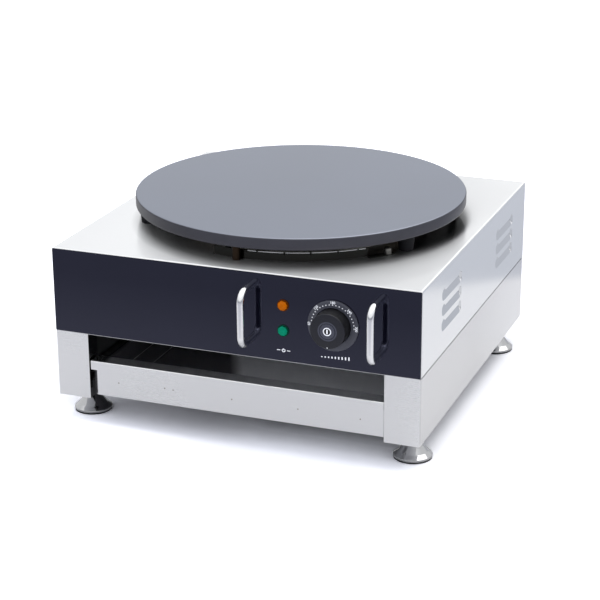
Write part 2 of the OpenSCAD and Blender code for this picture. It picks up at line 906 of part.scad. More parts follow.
module gland_nut() {
    color(plastic_black) placed() difference() {
        hex_y(gland[0], gland[1], rear_y - 6, rear_y, 14);
        disc_y(gland[0], gland[1], rear_y - 7, rear_y + 1, gland_collar);
    }
}

module bonding_stud() {
    color(brass) placed() {
        disc_y(bond[0], bond[1], rear_y, body_depth + 8.5, m8);
        disc_y(bond[0], bond[1], body_depth + 8.5, body_depth + 18, m6);
        hex_y(bond[0], bond[1], rear_y - 4, rear_y, 7.4);
    }
}

module bonding_nuts() {
    color(brass) placed() difference() {
        for (y = [body_depth, body_depth + 4.3]) hex_y(bond[0], bond[1], y, y + 4, 7.4);
        disc_y(bond[0], bond[1], rear_y, body_depth + 12, m8);
    }
}

// ---------- base ----------

module base_outline(inset) {
    rounded_rect(inset - half_width, inset, half_width - inset, body_depth - inset,
        fold_radius - inset);
}

module base_flange(z0, width) {
    edge = half_width - base_sheet - width;
    along_z(z0, z0 + base_sheet) difference() {
        base_outline(base_sheet / 2);
        translate([-edge, return_depth]) square([2 * edge, body_depth - return_depth - width - 2]);
        translate([-column_x - base_sheet, -1])
            square([2 * (column_x + base_sheet), return_depth + 1.01]);
    }
}

module base_housing() {
    color(steel) placed() difference() {
        union() {
            along_z(ground_gap, seam) difference() {
                base_outline(0);
                base_outline(base_sheet);
                translate([-column_x, -1]) square([2 * column_x, 5]);
            }
            for (side = [-1, 1]) mirrored(side)
                box(column_x, base_sheet / 2, ground_gap, column_x + base_sheet, return_depth, seam);
            base_flange(seam - base_sheet, 16);
            base_flange(ground_gap, 12);
        }
        at_base_bolts() disc_z(0, 0, seam - 3, seam + 1, m5);
    }
}

// A plate from the side wall over the bottom flange, with a threaded boss for the foot's stud
module foot_brackets() {
    inner = 18.5;
    half_length = 22;
    plate = 3;
    boss = 10.5;
    color(steel) placed() at_feet() difference() {
        union() {
            box(-inner, -half_length, bracket_z, foot_inset_x - base_sheet, half_length,
                bracket_z + plate);
            disc_z(0, 0, bracket_z + plate, bracket_z + boss, 9);
        }
        disc_z(0, 0, bracket_z - 1, bracket_z + boss + 1, stud_radius + running);
    }
}

// A channel that carries the drawer's side flange, with arms to the side wall and a stop tab
module runner(side) {
    inner = tray_x + 1;
    outer = column_x + base_sheet;
    web = outer - base_sheet;
    low = ledge_z - base_sheet;
    arm_length = 24;
    color(steel) placed() mirrored(side) {
        along_y(return_depth, body_depth - base_sheet) difference() {
            translate([inner, low]) square([outer - inner, 6]);
            translate([inner - 1, ledge_z]) square([web - inner + 1, 3.6]);
        }
        for (y = runner_arms) box(outer, y, low, half_width - base_sheet, y + arm_length, ledge_z);
        box(inner + 0.4, stop_y, low - 5.8, outer - 2, stop_y + 3, low);
    }
}

module left_runner() {
    runner(-1);
}

module right_runner() {
    runner(1);
}

// ---------- drawer ----------

// An open tray whose side flanges ride in the runners, with a stop tab at each rear corner
// and a stiffening bead along each side of its floor
module drawer_tray() {
    wall = 1;
    rim = lip_bottom + wall;
    color(steel) placed() {
        difference() {
            box(-tray_x, wall, tray_floor - wall, tray_x, tray_depth, rim);
            box(wall - tray_x, 2 * wall, tray_floor, tray_x - wall, tray_depth - wall, rim + 1);
        }
        for (side = [-1, 1]) mirrored(side) {
            box(tray_x, return_depth + 2, lip_bottom, lip_x, tray_depth, rim);
            box(tray_x, tray_depth - 4, ledge_z - 5.5, tray_x + 6, tray_depth,
                ledge_z - base_sheet - 0.3);
            disc_y(bead_x, tray_floor, 6, tray_depth - 6, bead_radius);
        }
    }
}

module drawer_front() {
    fold = 1.5;
    right = column_x - 0.4;
    left = 1.4 - tray_x;
    color(steel) placed() {
        difference() {
            along_x(-lip_x, right) rounded_rect(0, rail_bottom - 20, lip_depth, rail_top, fold);
            along_x(1 - lip_x, right - 1)
                rounded_rect(1, rail_bottom - 30, lip_depth - 1, rail_top - 1, fold - 1);
            box(-half_width, -1, 0, half_width, body_depth, lip_bottom);
            box(-half_width, 1, 0, half_width, body_depth, lip_bottom + 1.3);
        }
        box(left, 0.25, rail_bottom, right, 1, lip_bottom);
        box(-tray_x, 1, rail_bottom, tray_x, 10, rail_bottom + 1);
    }
}

// ---------- feet ----------

// The profile runs from the cup's lower edge up its cone to the neck
module foot(x, y) {
    rim = foot_diameter / 2;
    color(chrome) placed() translate([x, y, 0]) {
        rotate_extrude() polygon([
            [0, 2.2], [rim, 2.2], [rim, 4], [rim - 1.2, 5.4], [rim - 5.2, 8.8], [12.6, 15.4],
            [9, 20.4], [8.2, 22.4], [0, 22.4]
        ]);
        translate([0, 0, 22.4]) cylinder(h = 5, r = 9, $fn = 6);
        cylinder(h = 64, r = stud_radius);
    }
}

module foot_pad(x, y) {
    color(rubber_black) placed() translate([x, y, 0]) difference() {
        cylinder(h = 2.2, r = foot_diameter / 2 - 0.4);
        translate([0, 0, -1]) cylinder(h = 4, r = stud_radius);
    }
}

top_housing();
front_panel();
rear_panel();
floor_plate();
rear_screws();
base_bolts();
griddle_plate();
spacer_posts();
plate_screws();
heat_guard();
guard_screws();
outer_element();
inner_element();
element_clamp();
clamp_bolts();
insulation_disc();
reflector_pan();
thermostat_bulb();
thermostat_capillary();
limiter_bulb();
limiter_capillary();
thermostat_body();
thermostat_screws();
dial_bezel();
heating_lamp_lens();
power_lamp_lens();
lamp_bodies();
left_handle();
right_handle();
handle_screws();
terminal_block();
wiring();
limiter_body();
reset_nut();
cable_gland();
gland_cap();
gland_nut();
bonding_stud();
bonding_nuts();
base_housing();
foot_brackets();
left_runner();
right_runner();
thermostat_shaft();
temperature_knob();
knob_cap();
reset_button();
drawer_tray();
drawer_front();
foot(-foot_x, foot_front);  // foot_front_left
foot(foot_x, foot_front);  // foot_front_right
foot(-foot_x, foot_rear);  // foot_rear_left
foot(foot_x, foot_rear);  // foot_rear_right
foot_pad(-foot_x, foot_front);  // foot_pad_front_left
foot_pad(foot_x, foot_front);  // foot_pad_front_right
foot_pad(-foot_x, foot_rear);  // foot_pad_rear_left
foot_pad(foot_x, foot_rear);  // foot_pad_rear_right
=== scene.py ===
"""Looks of a countertop electric crepe maker, built around its packed CAD parts.

Everything is in metres, in the frame of the CAD: +X to the right, +Y to the rear, +Z up.
"""

import math

import bmesh
import bpy
import numpy as np
from mathutils import Matrix, Vector


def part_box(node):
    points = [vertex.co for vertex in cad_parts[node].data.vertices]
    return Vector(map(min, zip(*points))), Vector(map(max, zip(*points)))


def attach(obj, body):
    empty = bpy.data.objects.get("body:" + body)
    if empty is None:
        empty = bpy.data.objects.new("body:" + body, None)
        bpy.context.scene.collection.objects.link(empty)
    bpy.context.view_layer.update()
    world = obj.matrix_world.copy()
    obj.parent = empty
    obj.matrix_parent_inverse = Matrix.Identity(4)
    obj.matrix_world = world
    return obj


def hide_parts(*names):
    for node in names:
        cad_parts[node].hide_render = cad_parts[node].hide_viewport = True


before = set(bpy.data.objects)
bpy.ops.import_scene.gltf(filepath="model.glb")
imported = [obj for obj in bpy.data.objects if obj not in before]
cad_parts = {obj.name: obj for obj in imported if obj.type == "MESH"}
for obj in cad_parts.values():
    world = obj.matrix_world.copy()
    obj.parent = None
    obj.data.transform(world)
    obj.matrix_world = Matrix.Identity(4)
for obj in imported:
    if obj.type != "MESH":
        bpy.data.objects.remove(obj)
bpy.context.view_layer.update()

bl_info = {
    "name": "Crepe maker looks",
    "version": (1, 0, 0),
    "blender": (4, 5, 0),
    "location": "View3D > Sidebar > Crepe maker",
    "description": "Builds the dressed pieces, finishes and studio of a countertop crepe maker",
    "category": "Object",
}

MM = 0.001
X, Y, Z = np.eye(3)


# ---------- places read from the frame ----------

def node_box(name):
    """The lowest and highest corner of a CAD node, as arrays."""
    low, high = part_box(name)
    return np.array(low), np.array(high)


PANEL_LOW, PANEL_HIGH = node_box("front_panel")
PLATE_LOW, PLATE_HIGH = node_box("griddle_plate")
BEZEL_LOW, BEZEL_HIGH = node_box("dial_bezel")
KNOB_LOW, KNOB_HIGH = node_box("temperature_knob")
FRONT_Y = PANEL_LOW[1]
TOP_Z = node_box("top_housing")[1][2]
PLATE_RADIUS = (PLATE_HIGH[0] - PLATE_LOW[0]) / 2
KNOB_RADIUS = (KNOB_HIGH[0] - KNOB_LOW[0]) / 2
PLATE_CENTRE = np.array([0.0, (PLATE_LOW[1] + PLATE_HIGH[1]) / 2, 0.0])
DIAL = np.array([(BEZEL_LOW[0] + BEZEL_HIGH[0]) / 2, FRONT_Y, (BEZEL_LOW[2] + BEZEL_HIGH[2]) / 2])
FOOT_BODIES = {
    "foot_front_left": "foot_fl",
    "foot_front_right": "foot_fr",
    "foot_rear_left": "foot_rl",
    "foot_rear_right": "foot_rr",
}
PLATE_DEPTH = 14.6 * MM
LUG_CIRCLE = 187 * MM
LUG_DEGREES = (61, 181, 301)
GUARD_RADIUS = 184.5 * MM
GUARD_HOLES = (1.2, 5.1, 14.9, 24.2, 33.9, 41.3, 44.6)
TRAY_FLOOR = 46.9 * MM
BEAD_LINES = np.array([-174.0, -145.7, 145.7, 174.0]) * MM
WELDS = ((-145.1, 57.9), (-85.8, 59.7), (-75.2, 59.1), (-1.2, 58.2), (80.1, 58.2), (154.9, 57.1))
SCALE_NUMBERS = {-90: "60", -45: "120", 0: "180", 45: "240", 90: "300"}
BLACK = (0.0, 0.0, 0.0)
FINISH = {}


# ---------- settings ----------

def length(name, description, default, low=0.0, high=1.0):
    """A length in metres that a user may change."""
    return bpy.props.FloatProperty(
        name=name, description=description, default=default, min=low, max=high,
        precision=5, unit="LENGTH")


def share(name, description, default, low=0.0, high=1.0):
    """A plain number that a user may change."""
    return bpy.props.FloatProperty(
        name=name, description=description, default=default, min=low, max=high, precision=3)


def angle(name, description, degrees):
    """An angle that a user may change."""
    return bpy.props.FloatProperty(
        name=name, description=description, default=math.radians(degrees),
        min=-math.pi, max=math.pi, subtype="ANGLE")


def colour(name, description, default):
    """A linear colour that a user may change."""
    return bpy.props.FloatVectorProperty(
        name=name, description=description, default=default, size=3, min=0.0, max=1.0,
        subtype="COLOR")


class CrepeFinishes(bpy.types.PropertyGroup):
    """Colours and gloss of the finishes."""

    steel: colour("Stainless steel", "Brushed stainless sheet", (0.90, 0.905, 0.915))
    steel_roughness: share("Steel roughness", "Blur of the sheet's reflections", 0.28)
    iron_face: colour("Griddle face", "Ground face of the griddle plate", (0.257, 0.275, 0.325))
    iron_edge: colour("Griddle edge", "Rim and underside of the griddle plate", (0.064, 0.064, 0.078))
    enamel: colour("Black enamel", "Gloss coat of the front panel", (0.004, 0.004, 0.009))
    plastic: colour("Black plastic", "Moulded dial and knob", (0.005, 0.006, 0.014))
    chrome: colour("Chrome", "Polished handles and feet", (0.90, 0.905, 0.92))
    orange: colour("Orange lens", "Lamp that shows heating", (0.37, 0.088, 0.0005))
    green: colour("Green lens", "Lamp that shows power", (0.0005, 0.185, 0.105))
    print_white: colour("White print", "Marks on the dial and the panel", (0.86, 0.88, 0.92))
    rubber: colour("Rubber", "Pads under the feet", (0.018, 0.018, 0.020))


class CrepeGriddle(bpy.types.PropertyGroup):
    """Shape of the griddle plate."""

    top_round: length("Top edge", "Radius of the plate's upper edge", 2.4 * MM)
    bottom_round: length("Bottom edge", "Radius of the plate's lower edge", 1.8 * MM)
    lug_fillet: length("Lug fillet", "Radius where a lug meets the plate", 3.0 * MM)


class CrepeDial(bpy.types.PropertyGroup):
    """Sizes of the dial, the knob and their marks."""

    dot_count: bpy.props.IntProperty(
        name="Dots", description="Number of dots from one end of the scale to the other",
        default=21, min=2, max=60)
    dot_circle: length("Dot circle", "Distance of the dots from the dial's centre", 25.2 * MM)
    dot_radius: length("Dot radius", "Radius of one printed dot", 0.64 * MM)
    number_circle: length("Number circle", "Distance of the numbers from the centre", 27.7 * MM)
    number_height: length("Number height", "Height of the printed numbers", 2.9 * MM)
    pointer_circle: length("Pointer", "Distance of the knob's dot from its centre", 19.1 * MM)
    mark_radius: length("Cap mark", "Radius of the ring printed on the cap", 4.8 * MM)


class CrepePanel(bpy.types.PropertyGroup):
    """Marks on the front panel."""

    mark_z: length("Mark height", "Middle of the marks above the ground", 127.7 * MM)
    power_x: length("Power mark", "Middle of the mark under the lamps", 63.5 * MM)
    heat_x: length("Heat mark", "Middle of the mark under the dial", 125.3 * MM)


class CrepeStudio(bpy.types.PropertyGroup):
    """Camera, floor and lamps."""

    camera_place: bpy.props.FloatVectorProperty(
        name="Camera", description="Place of the camera", size=3, subtype="TRANSLATION",
        default=(0.7643, -1.99645, 0.8838))
    camera_yaw: angle("Yaw", "Turn of the view from straight back", -20.96)
    camera_pitch: angle("Pitch", "Tilt of the view, down is negative", -20.02)
    camera_roll: angle("Roll", "Turn of the picture about the view", -0.33)
    lens: share("Lens", "Focal length in millimetres on a 36 mm sensor", 109.66, 20.0, 300.0)
    world_light: share("Sky", "Strength of the soft light from all round", 0.52, 0.0, 3.0)
    key_light: share("Key lamp", "Irradiance of the broad lamp overhead", 1.2, 0.0, 10.0)
    floor_gain: share("Floor white", "How far the floor is brightened for the camera", 1.7, 1.0, 3.0)


# ---------- surfaces ----------

def unit(v):
    return v / np.linalg.norm(v, axis=-1, keepdims=True)


def rounded(corners, steps=6):
    """A line through corners (a, b, radius), each turned into an arc that touches both its sides.

    The arc's centre is on the corner's bisector, at radius / sin(half the corner's angle).
    """
    corners = np.asarray(corners, float)
    points = [corners[:1, :2]]
    for before, here, after in zip(corners[:-2], corners[1:-1], corners[2:]):
        if here[2] == 0:
            points.append(here[None, :2])
            continue
        back = unit(before[:2] - here[:2])
        on = unit(after[:2] - here[:2])
        half = math.acos(np.clip(back @ on, -1, 1)) / 2
        centre = here[:2] + unit(back + on) * here[2] / math.sin(half)
        reach = here[2] / math.tan(half)
        first = here[:2] + back * reach - centre
        last = here[:2] + on * reach - centre
        start = math.atan2(first[1], first[0])
        turn = math.atan2(first[0] * last[1] - first[1] * last[0], first @ last)
        a = start + turn * np.linspace(0, 1, steps + 1)
        points.append(centre + here[2] * np.stack([np.cos(a), np.sin(a)], 1))
    points.append(corners[-1:, :2])
    return np.concatenate(points)


def grid(points, wrap_rows=False):
    """A surface through a grid of points whose columns close on themselves, with faces outwards.

    The signed volume, a sixth of the sum of the triangles' triple products, tells which way
    the faces point, and they are turned round where it is negative.
    """
    rows, columns = points.shape[:2]
    index = np.arange(rows * columns).reshape(rows, columns)
    below = np.roll(index, -1, 0) if wrap_rows else index[1:]
    here = index if wrap_rows else index[:-1]
    faces = np.stack([here, np.roll(here, -1, 1), np.roll(below, -1, 1), below], -1).reshape(-1, 4)
    flat = points.reshape(-1, 3)
    a, b, c, d = (flat[faces[:, k]] - flat.mean(0) for k in range(4))
    volume = np.einsum("ij,ij->", a, np.cross(b, c)) + np.einsum("ij,ij->", a, np.cross(c, d))
    if volume < 0:
        faces = faces[:, ::-1]
    return flat, faces.tolist()


def lathe(profile, centre, axis=Z, segments=128, closed=False):
    """Turns pairs of radius and height about an axis through centre.

    point = centre + radius * (cos a * first + sin a * second) + height * axis, where first and
    second are unit vectors square to the axis and to each other
    """
    profile = np.asarray(profile, float)
    first = unit(np.cross(axis, X))
    a = np.linspace(0, 2 * np.pi, segments, endpoint=False)[:, None]
    ring = np.cos(a) * first + np.sin(a) * np.cross(axis, first)
    points = centre + profile[:, :1, None] * ring + profile[:, 1][:, None, None] * axis
    return grid(points, wrap_rows=closed)


def sweep(path, section, normal):
    """Carries a closed section of (side, height) pairs along a path in a plane, and closes its ends.

    point = path + side * (tangent x normal) + height * normal
    """
    path = np.asarray(path, float)
    side = unit(np.cross(unit(np.gradient(path, axis=0)), normal))
    rings = path[:, None] + section[None, :, :1] * side[:, None] + section[None, :, 1:] * normal
    ends = np.repeat(path[[0, -1], None], len(section), 1)
    return grid(np.concatenate([ends[:1], rings, ends[1:]]))


def circle_section(radius, sides):
    a = np.linspace(0, 2 * np.pi, sides, endpoint=False)
    return radius * np.stack([np.cos(a), np.sin(a)], 1)


def flat_section(half_width, half_height):
    return np.array([(-1, -1), (1, -1), (1, 1), (-1, 1)]) * (half_width, half_height)


def stroke(centre, line, width, thickness):
    """A printed line: a thin flat section carried along pairs of X and Z from a centre."""
    line = np.asarray(line)
    path = centre + line[:, :1] * X + line[:, 1:] * Z
    return sweep(path, flat_section(width, thickness), -Y)


def on_dial(degrees, circle, height):
    """A place on the dial, by its angle from the top, its radius and its height off the panel."""
    a = math.radians(degrees)
    return DIAL + circle * (math.sin(a) * X + math.cos(a) * Z) - height * Y


def dot(degrees, circle, radius, height):
    """A printed spot: a low dome turned about an axis out of the panel."""
    spot = [(0.0, -0.05 * MM), (radius, -0.05 * MM), (radius, 0.04 * MM), (0.0, 0.05 * MM)]
    return lathe(spot, on_dial(degrees, circle, height), -Y, 20)


def number(words, height, thickness, centre, degrees):
    """Printed figures as a closed mesh: drawn flat, stood up and turned with the dial's scale."""
    font = bpy.data.curves.new(words, "FONT")
    font.body = words
    font.size = height * 1.42
    font.align_x = "CENTER"
    font.align_y = "CENTER"
    font.offset = height * 0.02
    font.extrude = thickness / 2
    drawn = bpy.data.objects.new(words, font)
    bpy.context.scene.collection.objects.link(drawn)
    bpy.context.view_layer.update()
    evaluated = drawn.evaluated_get(bpy.context.evaluated_depsgraph_get())
    mesh = bpy.data.meshes.new_from_object(evaluated)
    bpy.data.objects.remove(drawn)
    turned = Matrix.Rotation(math.radians(degrees), 4, "Y") @ Matrix.Rotation(math.radians(90), 4, "X")
    mesh.transform(Matrix.Translation(Vector(centre)) @ turned)
    points = np.zeros(len(mesh.vertices) * 3, np.float32)
    mesh.vertices.foreach_get("co", points)
    faces = [list(polygon.vertices) for polygon in mesh.polygons]
    bpy.data.meshes.remove(mesh)
    return points.reshape(-1, 3), faces


def piece(name, parts, finishes, body, smooth=30.0):
    """Makes one mesh object of closed surfaces and lets it ride on a body.

    parts is a list of (surface, index among the finishes). Points at one place are joined, which
    closes the poles, and edges sharper than smooth, in degrees, stay crisp.
    """
    start = 0
    points, faces, slots = [], [], []
    for (vertices, corners), slot in parts:
        points.append(vertices)
        faces += [[k + start for k in face] for face in corners]
        slots += [slot] * len(corners)
        start += len(vertices)
    mesh = bpy.data.meshes.new(name)
    mesh.from_pydata(np.concatenate(points), [], faces)
    mesh.polygons.foreach_set("material_index", slots)
    for key in finishes:
        mesh.materials.append(FINISH[key])
    work = bmesh.new()
    work.from_mesh(mesh)
    bmesh.ops.remove_doubles(work, verts=work.verts, dist=1e-7)
    work.to_mesh(mesh)
    work.free()
    mesh.polygons.foreach_set("use_smooth", np.ones(len(mesh.polygons), bool))
    mesh.set_sharp_from_angle(angle=math.radians(smooth))
    item = bpy.data.objects.new(name, mesh)
    bpy.context.scene.collection.objects.link(item)
    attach(item, body)
    return item


# ---------- node helpers ----------

def feed(node, inputs):
    """Gives a node's inputs their values, or links them to other nodes' output sockets."""
    for key, value in inputs.items():
        if isinstance(value, bpy.types.NodeSocket):
            node.id_data.links.new(value, node.inputs[key])
        else:
            node.inputs[key].default_value = value
    return node


def node_after(kind, inputs, output=0, **settings):
    """The output of a new node, in the tree of the first socket among its inputs."""
    sockets = [value for value in inputs.values() if isinstance(value, bpy.types.NodeSocket)]
    node = sockets[0].id_data.nodes.new(kind)
    for key, value in settings.items():
        setattr(node, key, value)
    return feed(node, inputs).outputs[output]


def ramp(factor, low, high, to_low=0.0, to_high=1.0):
    """Maps a value from one range to another and holds it there."""
    return node_after("ShaderNodeMapRange", {
        "Value": factor, "From Min": low, "From Max": high, "To Min": to_low, "To Max": to_high})


def calculate(operation, *values):
    return node_after("ShaderNodeMath", dict(enumerate(values)), operation=operation)


def times(first, *others):
    for other in others:
        first = calculate("MULTIPLY", first, other)
    return first


def vector_node(operation, *values, output=0):
    return node_after("ShaderNodeVectorMath", dict(enumerate(values)), output, operation=operation)


def scaled(vector, factor):
    return node_after("ShaderNodeVectorMath", {0: vector, "Scale": factor}, operation="SCALE")


def split(vector):
    """The X, Y and Z sockets of a vector, by name."""
    return feed(vector.id_data.nodes.new("ShaderNodeSeparateXYZ"), {0: vector}).outputs


def combined(x, y, z):
    return node_after("ShaderNodeCombineXYZ", {"X": x, "Y": y, "Z": z})


def noise(vector, scale, detail, roughness=0.5, output="Fac"):
    return node_after("ShaderNodeTexNoise", {
        "Vector": vector, "Scale": scale, "Detail": detail, "Roughness": roughness}, output)


def mix(factor, a, b, blend="MIX"):
    """Mixes two colours, which are sockets or red, green and blue."""
    a, b = (value if isinstance(value, bpy.types.NodeSocket) else (*value, 1.0) for value in (a, b))
    return node_after("ShaderNodeMix", {0: factor, 6: a, 7: b}, 2, data_type="RGBA", blend_type=blend)


def normal_of(tree):
    return tree.nodes.new("ShaderNodeNewGeometry").outputs["Normal"]


def new_group(name, output, inputs, kind="Float"):
    """A shader node group that takes a vector and named inputs: its input sockets and its output."""
    tree = bpy.data.node_groups.new(name, "ShaderNodeTree")
    tree.interface.new_socket("Vector", in_out="INPUT", socket_type="NodeSocketVector")
    for label, default in inputs.items():
        form = "NodeSocketColor" if isinstance(default, tuple) else "NodeSocketFloat"
        tree.interface.new_socket(label, in_out="INPUT", socket_type=form).default_value = default
    tree.interface.new_socket(output, in_out="OUTPUT", socket_type="NodeSocket" + kind)
    return tree.nodes.new("NodeGroupInput").outputs, tree.nodes.new("NodeGroupOutput")


def pattern(place, name, **values):
    """The output of a node group, placed in a material with its own values."""
    node = place.id_data.nodes.new("ShaderNodeGroup")
    node.node_tree = bpy.data.node_groups[name]
    return feed(node, {"Vector": place, **values}).outputs[0]


def new_material(name):
    """A material with a Principled shader, and the Object coordinates in it."""
    material = bpy.data.materials.new(name)
    material.use_nodes = True
    return material, material.node_tree.nodes.new("ShaderNodeTexCoord").outputs["Object"]


def dress(material, inputs):
    """Feeds the sockets of a material's shader."""
    feed(material.node_tree.nodes["Principled BSDF"], inputs)
    return material


def bump(height, strength, distance):
    """The normal of a surface that is raised by a height."""
    return node_after("ShaderNodeBump", {
        "Height": height, "Strength": strength, "Distance": distance}, "Normal")


# ---------- node groups ----------

def group_brushed_grain():
    """Long fine scratches: along X on faces that look forwards or up, upright on the sides.

    Two noises are stretched along X and along Z, and the face's normal picks between them.
    """
    given, out = new_group("Brushed Grain", "Grain", {"Fineness": 2600.0, "Stretch": 70.0})
    fine = given["Fineness"]
    coarse = calculate("DIVIDE", fine, given["Stretch"])
    along, upright = (noise(vector_node("MULTIPLY", given["Vector"], scale), 1.0, 3.0, 0.6)
                      for scale in (combined(coarse, fine, fine), combined(fine, fine, coarse)))
    sideways = ramp(calculate("ABSOLUTE", split(normal_of(out.id_data))["X"]), 0.6, 0.8)
    feed(out, {"Grain": node_after("ShaderNodeMix", {0: sideways, 2: along, 3: upright})})


def group_smudges():
    """Broad soft clouds for wiped and handled places, with values from 0 to 1."""
    given, out = new_group("Soft Smudges", "Mask", {"Scale": 9.0})
    bend = noise(given["Vector"], 5.0, 2.0, output="Color")
    moved = vector_node("MULTIPLY_ADD", bend, (0.12, 0.12, 0.12), given["Vector"])
    feed(out, {"Mask": ramp(noise(moved, given["Scale"], 5.0, 0.55), 0.32, 0.68)})


def group_speckle():
    """Fine grain of a cast or moulded skin: cells and noise together, from 0 to 1."""
    given, out = new_group("Fine Speckle", "Height", {"Scale": 1400.0})
    cells = node_after("ShaderNodeTexVoronoi", {
        "Vector": given["Vector"], "Scale": given["Scale"]}, "Distance")
    feed(out, {"Height": times(cells, noise(given["Vector"], given["Scale"], 4.0, 0.65))})


def group_turned_rings():
    """Fine rings of a lathe tool about an axis along Z: a wave of the distance from the axis."""
    given, out = new_group("Turned Rings", "Rings", {"Pitch": 0.0009})
    flat = vector_node("MULTIPLY", given["Vector"], (1.0, 1.0, 0.0))
    turns = calculate("DIVIDE", vector_node("LENGTH", flat, output="Value"), given["Pitch"])
    uneven = node_after("ShaderNodeTexNoise", {"W": turns, "Scale": 0.9, "Detail": 3.0}, "Fac",
                        noise_dimensions="1D")
    wave = calculate("SINE", times(turns, 2 * math.pi))
    feed(out, {"Rings": times(calculate("ADD", wave, 1.0), uneven)})


def group_heat_tint():
    """Straw, brown and blue patches of steel that has been hot."""
    given, out = new_group("Heat Tint", "Color", {"Metal": (0.30, 0.28, 0.26, 1), "Amount": 0.6}, "Color")
    tint = node_after("ShaderNodeValToRGB", {"Fac": noise(given["Vector"], 26.0, 4.0)})
    stops = tint.node.color_ramp.elements
    stops[0].position = 0.30
    stops[0].color = (0.20, 0.13, 0.08, 1)
    stops[1].position = 0.70
    stops[1].color = (0.14, 0.16, 0.22, 1)
    stops.new(0.5).color = (0.42, 0.33, 0.20, 1)
    feed(out, {"Color": mix(given["Amount"], given["Metal"], tint)})


# ---------- materials ----------

def mottled(name, base, scale, shades, roughness):
    """A material whose colour and roughness drift between two shades and values in soft clouds."""
    material, place = new_material(name)
    clouds = pattern(place, "Soft Smudges", Scale=scale)
    base = np.array(base)
    tone = mix(clouds, base * shades[0], np.minimum(base * shades[1], 1))
    dress(material, {"Base Color": tone, "Roughness": ramp(clouds, 0.0, 1.0, *roughness)})
    return material, place, clouds, tone


def across_grain(normal):
    """A direction square to the grain: along Z on the front and rear faces, along Y elsewhere.

    direction = (0, 1 - n.y squared, n.y squared)
    """
    y = split(normal)["Y"]
    facing = times(y, y)
    return combined(0.0, calculate("SUBTRACT", 1.0, facing), facing)


def shade_inwards(place, normal, tone, base):
    """Paints shade on the faces that look towards the body's middle, darkest behind its front returns.

    Such a face has a negative product of its place and its normal in plan.
    """
    flat = vector_node("MULTIPLY", place, (1, 1, 0))
    along = vector_node("DOT_PRODUCT", flat, normal, output="Value")
    depth = ramp(split(place)["Y"], FRONT_Y + 0.022, FRONT_Y + 0.026)
    return mix(ramp(along, -0.01, -0.02), tone, mix(depth, base * 0.30, base * 0.025))


def paint_shade_on_sides(place, facing, tone):
    """Paints shade on the upright sides, most of all at their front."""
    sideways = ramp(calculate("ABSOLUTE", facing["X"]), 0.9, 0.95)
    dimmed = mix(ramp(split(place)["Y"], 0.0, 0.2), (0.80, 0.79, 0.79), (0.95, 0.94, 0.94))
    return mix(sideways, tone, dimmed, "MULTIPLY")


def paint_plate_reflection(place, facing, tone):
    """Paints shade on the top under the plate and a little beyond its rim: a painted reflection of the
    plate's dark underside.

    The dark zone is a little narrower than it is deep, and the top is painted a little darker at the
    right.
    """
    middle = PLATE_CENTRE + np.array([0.005, -0.009, TOP_Z])
    wider = vector_node("MULTIPLY", place, (1.05, 1.0, 1.0))
    distance = vector_node("DISTANCE", wider, tuple(middle), output="Value")
    aside = ramp(facing["Z"], 0.9, 0.6)
    level = times(calculate("MAXIMUM", ramp(distance, 0.194, 0.217, 0.4, 1.0), aside),
                  calculate("MAXIMUM", ramp(split(place)["X"], -0.03, 0.15, 1.0, 0.86), aside))
    return mix(level, (0.0, 0.0, 0.004), tone)


def steel_material(name, base, roughness, top=1.15, sides=0.45, shaded=False):
    """Brushed stainless sheet: streaks in colour, gloss and height, under broad wiped clouds.

    Its reflections are drawn out square to the grain. Its sides are more polished than its front
    by the share sides, and its top is rougher by the share top under a clear gloss. The slanted
    faces of pressed louvre pockets are painted darker, as painted shade.
    """
    material, place = new_material(name)
    normal = normal_of(material.node_tree)
    facing = split(normal)
    grain = pattern(place, "Brushed Grain")
    broad = pattern(place, "Brushed Grain", Fineness=420.0, Stretch=40.0)
    clouds = pattern(place, "Soft Smudges", Scale=7.0)
    base = np.array(base)
    tone = mix(ramp(grain, 0.3, 0.7), base * 0.985, base)
    tone = mix(ramp(broad, 0.3, 0.7, 0.0, 0.3), tone, base * 0.97)
    level = calculate("ABSOLUTE", facing["X"])
    # Painted shade: the slanted faces of the louvre pockets are darkened.
    louvre_shade = times(ramp(level, 0.5, 0.55), ramp(level, 0.998, 0.99),
                    ramp(split(place)["Z"], TOP_Z - 0.008, TOP_Z - 0.009))
    tone = mix(louvre_shade, tone, base * 0.80)
    # The base gets painted shade on its inward faces and sides; the top gets painted shade round the
    # plate.
    if shaded:
        tone = paint_shade_on_sides(place, facing, shade_inwards(place, normal, tone, base))
    elif top > 1:
        tone = paint_plate_reflection(place, facing, tone)
    worn = calculate("ADD", ramp(clouds, 0.0, 1.0, roughness - 0.015, roughness + 0.015),
                     ramp(grain, 0.25, 0.75, -0.012, 0.012))
    polish = times(ramp(level, 0.6, 0.9, 1.0, sides), ramp(facing["Z"], 0.6, 0.9, 1.0, top))
    if top > 1:
        dress(material, {"Coat Weight": ramp(facing["Z"], 0.6, 0.9, 0.0, 0.35),
                         "Coat Roughness": 0.08, "Coat IOR": 1.6})
    return dress(material, {
        "Base Color": tone, "Roughness": times(worn, polish), "Metallic": 1.0, "Anisotropic": 1.0,
        "Tangent": across_grain(normal), "Normal": bump(grain, 0.012, 0.00002)})


def floor_sheet_material(steel):
    """Pale matt underside of the housing's floor, with painted shade along its exposed side edges, where
    the seam shows dark.
    """
    material, place, clouds, pale = mottled("Housing floor sheet", steel, 9.0, (0.86, 0.95), (0.55, 0.65))
    # Painted shade: the side edges are near black.
    edge = ramp(calculate("ABSOLUTE", split(place)["X"]), 0.200, 0.206)
    return dress(material, {
        "Base Color": mix(edge, pale, (0.012, 0.012, 0.013)), "Specular IOR Level": 0.2,
        "Normal": bump(clouds, 0.05, 0.00005)})


